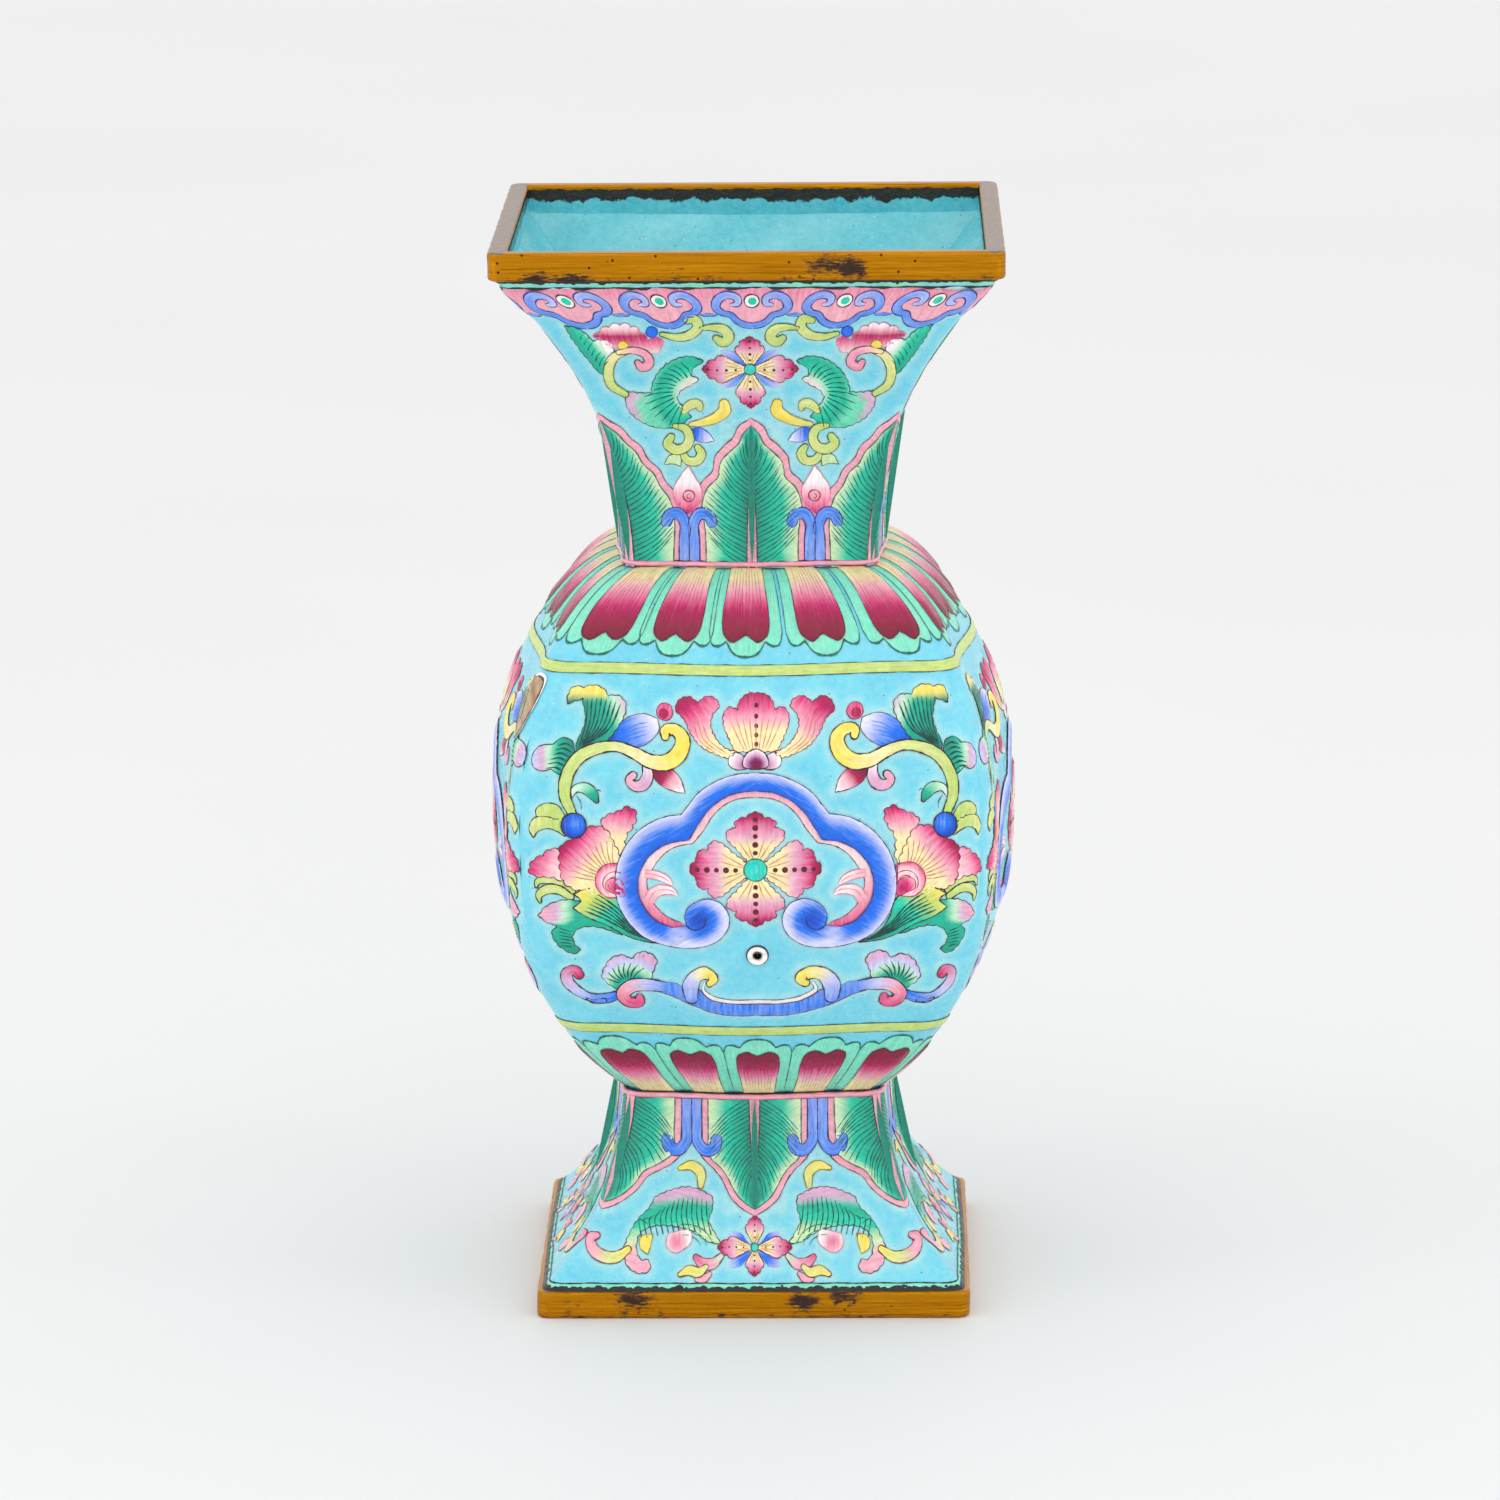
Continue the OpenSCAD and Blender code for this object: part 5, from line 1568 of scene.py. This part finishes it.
def chip(face, name, side, u, z):
    """A place where the enamel is lost, down to the browned copper."""
    marks = Face(face.section)
    marks.distance, marks.u0, marks.grid_step = face.distance, face.u0, face.grid_step
    up = face.section.up
    pen = marks.pen(lambda p: np.stack([p[:, 0] + u, up(p[:, 1] + z)], axis=1))
    edge = [(-2.4, -4.9), (-3.1, -1.4), (-2.6, 2.8), (-0.7, 5.3), (1.9, 5.0), (3.0, 1.8), (2.5, -1.9),
            (0.7, -5.5)]
    outline = through(edge, closed=True)
    pen.patch(outline * 1.12, WHITE * 0.95, 4, None, raised=False)
    browns = ramp((0, srgb(150, 118, 90)), (0.5, srgb(196, 172, 142)), (1, srgb(172, 144, 114)))
    pen.patch(outline, lambda p, d: browns(0.5 + 0.5 * np.sin(p[:, 1] * 1.3 + p[:, 0])), 5,
              srgb(70, 52, 44), 0.3, raised=False)
    pen.blade([(-1.3, -2.6, 0.3), (-1.5, 0.2, 0.9), (-0.9, 2.6, 0.5)], INK, 6, None, raised=False)
    for kind, sheet, finish in (("patch", marks.fills, PAINTED), ("edge", marks.lines, LINES)):
        us, lift, paint, flow = sheet.arrays()
        points = face.section.place(side, us, face.relief(us) + lift)
        add_object(f"{name}_{kind}", points, sheet.faces, finish, "copper", paint=paint, flow=flow)


hole_ring(FACES["body"], "body_front_hole_ring")
chip(FACES["body"], "body_left_chip", 3, 33.6, 108.6)


# ---------------------------------------------------------------- linings, beads and frames

for part in ("neck", "body", "foot"):
    lay_lining(FACES[part].section, part, f"{part}_lining", WALL)

RIM_THICK, RIM_CORNER, RIM_ARRIS = 3.4, 2.4, 0.55  # both gilt frames


def mouth_edge():
    """The lining carried up the inside of the mouth's frame, with its black ragged top."""
    low, high = (np.array(corner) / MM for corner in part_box("mouth_rim"))
    half = high[0] - RIM_THICK - 0.14
    n, m = 90, 14
    z = np.linspace(low[2] - 0.7, high[2] - 0.8, m)
    points, faces, soot = [], [], []
    for side in range(4):
        t, zz = np.meshgrid(np.linspace(-1, 1, n), z, indexing="ij")
        t, zz = t.ravel(), zz.ravel()
        ragged = 0.25 * np.sin(t * 33 + side) * np.sin(t * 71) * (zz > z[-2])
        x, y = quarter_turned(t * half, np.full(len(t), -half), side)
        points.append(np.stack([x, y, zz + ragged], axis=1) * MM)
        faces += [tuple(side * n * m + i for i in reversed(q)) for q in grid_faces(n, m)]
        soot.append(1.25 - (z[-1] - zz) / 2.9)
    add_object("mouth_lining_edge", np.concatenate(points), faces, LINING, "inner_enamel",
               soot=np.concatenate(soot))


mouth_edge()


def lay_bead(section, name, replaced, z_low, z_high):
    """The rounded pink bead over a joint, with a dark line on each side."""
    n, m = 60, 17
    shade = ramp((0, INK), (0.17, INK), (0.24, ROSE * 0.5 + PINK * 0.5), (0.5, PINK),
                 (0.78, ROSE * 0.3 + PINK * 0.7), (0.85, INK), (1, INK))
    points, paint, flow, faces = [], [], [], []
    for side in range(4):
        f, v = np.meshgrid(np.linspace(-1, 1, n), np.linspace(0, 1, m), indexing="ij")
        f, v = f.ravel(), v.ravel()
        s = section.up(z_low) + (section.up(z_high) - section.up(z_low)) * v
        us = np.stack([f * section.reach(s), s], axis=1)
        faces += [tuple(side * n * m + i for i in q) for q in grid_faces(n, m)]
        points.append(section.place(side, us, -0.2 + 0.95 * np.sin(np.pi * v) ** 0.6
                                    + 0.04 * np.sin(f * 19 + side)))
        paint.append(shade(v + 0.02 * np.sin(f * 31 + side)))
        flow.append(np.column_stack([us, np.full(n * m, side)]))
    bead = add_object(name, np.concatenate(points), faces, PAINTED, "pink_enamel",
                      paint=np.concatenate(paint), flow=np.concatenate(flow))
    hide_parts(replaced)


lay_bead(FACES["neck"].section, "neck_bead", "neck_joint_bead", 132.0, 133.35)
lay_bead(FACES["foot"].section, "waist_bead", "waist_joint_bead", 35.55, 36.98)


def square_ring(half, r, straight, corner):
    """A rounded square as points in its plane, anticlockwise from the front face's left end."""
    points = []
    for side in range(4):
        t = np.linspace(-1, 1, straight)
        run = half - r
        flat = np.stack([t * run, np.full(straight, -half)], axis=1)
        a = np.radians(np.linspace(0, 90, corner + 2)[1:-1])
        arc = np.stack([run + r * np.sin(a), -run - r * np.cos(a)], axis=1)
        p = np.concatenate([flat, arc])
        points.append(np.stack(quarter_turned(p[:, 0], p[:, 1], side), axis=1))
    return np.concatenate(points)


def gilt_frame(name, replaced, patches, side_wear, seed):
    """A gilt frame with softened arrises. patches are (x, y, z, size) of worn places, in millimetres."""
    low, high = (np.array(corner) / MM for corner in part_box(replaced))
    half, h, w, r, e = high[0], high[2] - low[2], RIM_THICK, RIM_CORNER, RIM_ARRIS
    bend = np.radians([0, 22.5, 45, 67.5, 90])
    profile = []
    for cx, cz, start in ((e, h - e, 0), (w - e, h - e, 1), (w - e, e, 2), (e, e, 3)):
        for b in bend:
            a = b + start * math.pi / 2
            profile.append((cx - e * math.cos(a), cz + e * math.sin(a)))
        nxt = {0: (w - e, h), 1: (w, e), 2: (e, 0), 3: (0, h - e)}[start]
        here = profile[-1]
        profile += [(here[0] + (nxt[0] - here[0]) * t, here[1] + (nxt[1] - here[1]) * t)
                    for t in (0.25, 0.5, 0.75)]
    rings, flows = [], []
    across = 0.0
    for i, (d, z) in enumerate(profile):
        ring = square_ring(half - d, max(r - d, 0.5), 60, 6)
        if i:
            across += math.dist(profile[i], profile[i - 1])
        run = np.concatenate([[0], np.cumsum(np.linalg.norm(np.diff(ring, axis=0), axis=1))])
        wave = 0.07 * np.sin(run * 0.21 + z * 0.8 + seed) + 0.05 * np.sin(run * 0.73 + d * 1.3)
        out = ring / np.linalg.norm(ring, axis=1)[:, None]
        inward = 1 if d < w / 2 else -0.5
        worn_ring = ring - out * np.abs(wave[:, None]) * inward
        rings.append(np.column_stack([worn_ring, np.full(len(ring), low[2] + z)]))
        flows.append(np.column_stack([run, np.full(len(ring), across), np.full(len(ring), seed)]))
    n = len(rings[0])
    points = np.concatenate(rings)
    worn = np.full(len(points), 0.16)
    on_top = points[:, 2] > high[2] - 0.2
    dull = np.where(on_top & (np.abs(points[:, 0]) > half - w), side_wear, 0.0)
    worn = np.where(points[:, 2] < low[2] + 0.7, 0.42, worn)
    for x, y, z, size in patches:
        gap = np.linalg.norm((points - (x, y, z)) / (size, 3.0, 2.2), axis=1)
        worn = np.maximum(worn, 1.05 - 0.75 * gap)
    m = len(profile)
    faces = [(i * n + j, i * n + (j + 1) % n, (i + 1) % m * n + (j + 1) % n, (i + 1) % m * n + j)
             for i in range(m) for j in range(n)]
    faces = [tuple(reversed(q)) for q in faces]
    frame_piece = add_object(name, points * MM, faces, GILT, "gilt_copper", flow=np.concatenate(flows),
                             worn=worn, dull=dull)
    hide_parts(replaced)


MOUTH_WEAR = [(13, -44, 188.6, 4.2), (17.5, -44, 187.8, 3.6), (-29, -44, 185.8, 5), (-36, -44, 186, 4)]
FOOT_WEAR = [(-22, -38.2, 3.4, 5), (9, -38.2, 3.2, 4.5), (16, -38.2, 4, 4)]
gilt_frame("mouth_frame", "mouth_rim", MOUTH_WEAR, 0.8, 3.0)
gilt_frame("foot_frame", "foot_rim", FOOT_WEAR, 0.3, 7.0)

for name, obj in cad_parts.items():
    if name.endswith("_panel") or name == "body_floor":
        finish, slot_name = COPPER, "copper"
    elif name in ("floor_enamel", "floor_counter_enamel"):
        finish, slot_name = LINING, "inner_enamel"
    else:
        continue
    obj.data.materials.clear()
    obj.data.materials.append(finish)


# ---------------------------------------------------------------- floor, light and camera

def area(name, place, aim, size, power):
    """A soft box of that width and height, pointed at aim."""
    light = bpy.data.lights.new(name, "AREA")
    light.shape, light.size, light.size_y = "RECTANGLE", *size
    light.energy = power
    obj = bpy.data.objects.new(name, light)
    bpy.context.scene.collection.objects.link(obj)
    obj.location = place
    obj.rotation_euler = (Vector(aim) - Vector(place)).to_track_quat("-Z", "Y").to_euler()


def flat_floor(half_width=6, front=-4, back=8):
    mesh = bpy.data.meshes.new("floor")
    corners = [(-half_width, front, 0), (half_width, front, 0), (half_width, back, 0), (-half_width, back, 0)]
    mesh.from_pydata(corners, [], [(0, 1, 2, 3)])
    mesh.materials.append(pale_floor())
    obj = bpy.data.objects.new("floor", mesh)
    bpy.context.scene.collection.objects.link(obj)


flat_floor()
world = bpy.data.worlds.new("studio")
world.use_nodes = True
world.node_tree.nodes["Background"].inputs[0].default_value = (1.0, 0.995, 0.985, 1)
world.node_tree.nodes["Background"].inputs[1].default_value = 1.02
bpy.context.scene.world = world
BODY_MIDDLE = (0, 0, 0.1)
area("left_box", (-0.75, -0.35, 0.45), BODY_MIDDLE, (0.12, 0.9), 0.6)
area("right_box", (0.75, -0.3, 0.45), BODY_MIDDLE, (0.12, 0.9), 0.6)
area("top_box", (0.0, -0.5, 1.3), BODY_MIDDLE, (1.0, 0.8), 0.8)


def photo_camera(aim, distance, turn, climb, roll, focal_length):
    """A camera that looks at aim from the right by turn and from above by climb, in degrees."""
    lens = bpy.data.cameras.new("camera")
    lens.lens, lens.sensor_width = focal_length, 36
    camera = bpy.data.objects.new("camera", lens)
    bpy.context.scene.collection.objects.link(camera)
    turn, climb = math.radians(turn), math.radians(climb)
    way = Vector((math.sin(turn) * math.cos(climb), -math.cos(turn) * math.cos(climb), math.sin(climb)))
    camera.location = Vector(aim) + way * distance
    tilt = Matrix.Rotation(math.radians(roll), 3, way)
    camera.rotation_euler = (tilt @ (-way).to_track_quat("-Z", "Y").to_matrix()).to_euler()
    bpy.context.scene.camera = camera


photo_camera((-0.0006, 0, 0.0944), 1.325, turn=0.98, climb=12.22, roll=-0.38, focal_length=177.8)
bpy.context.scene.view_settings.view_transform = "Standard"
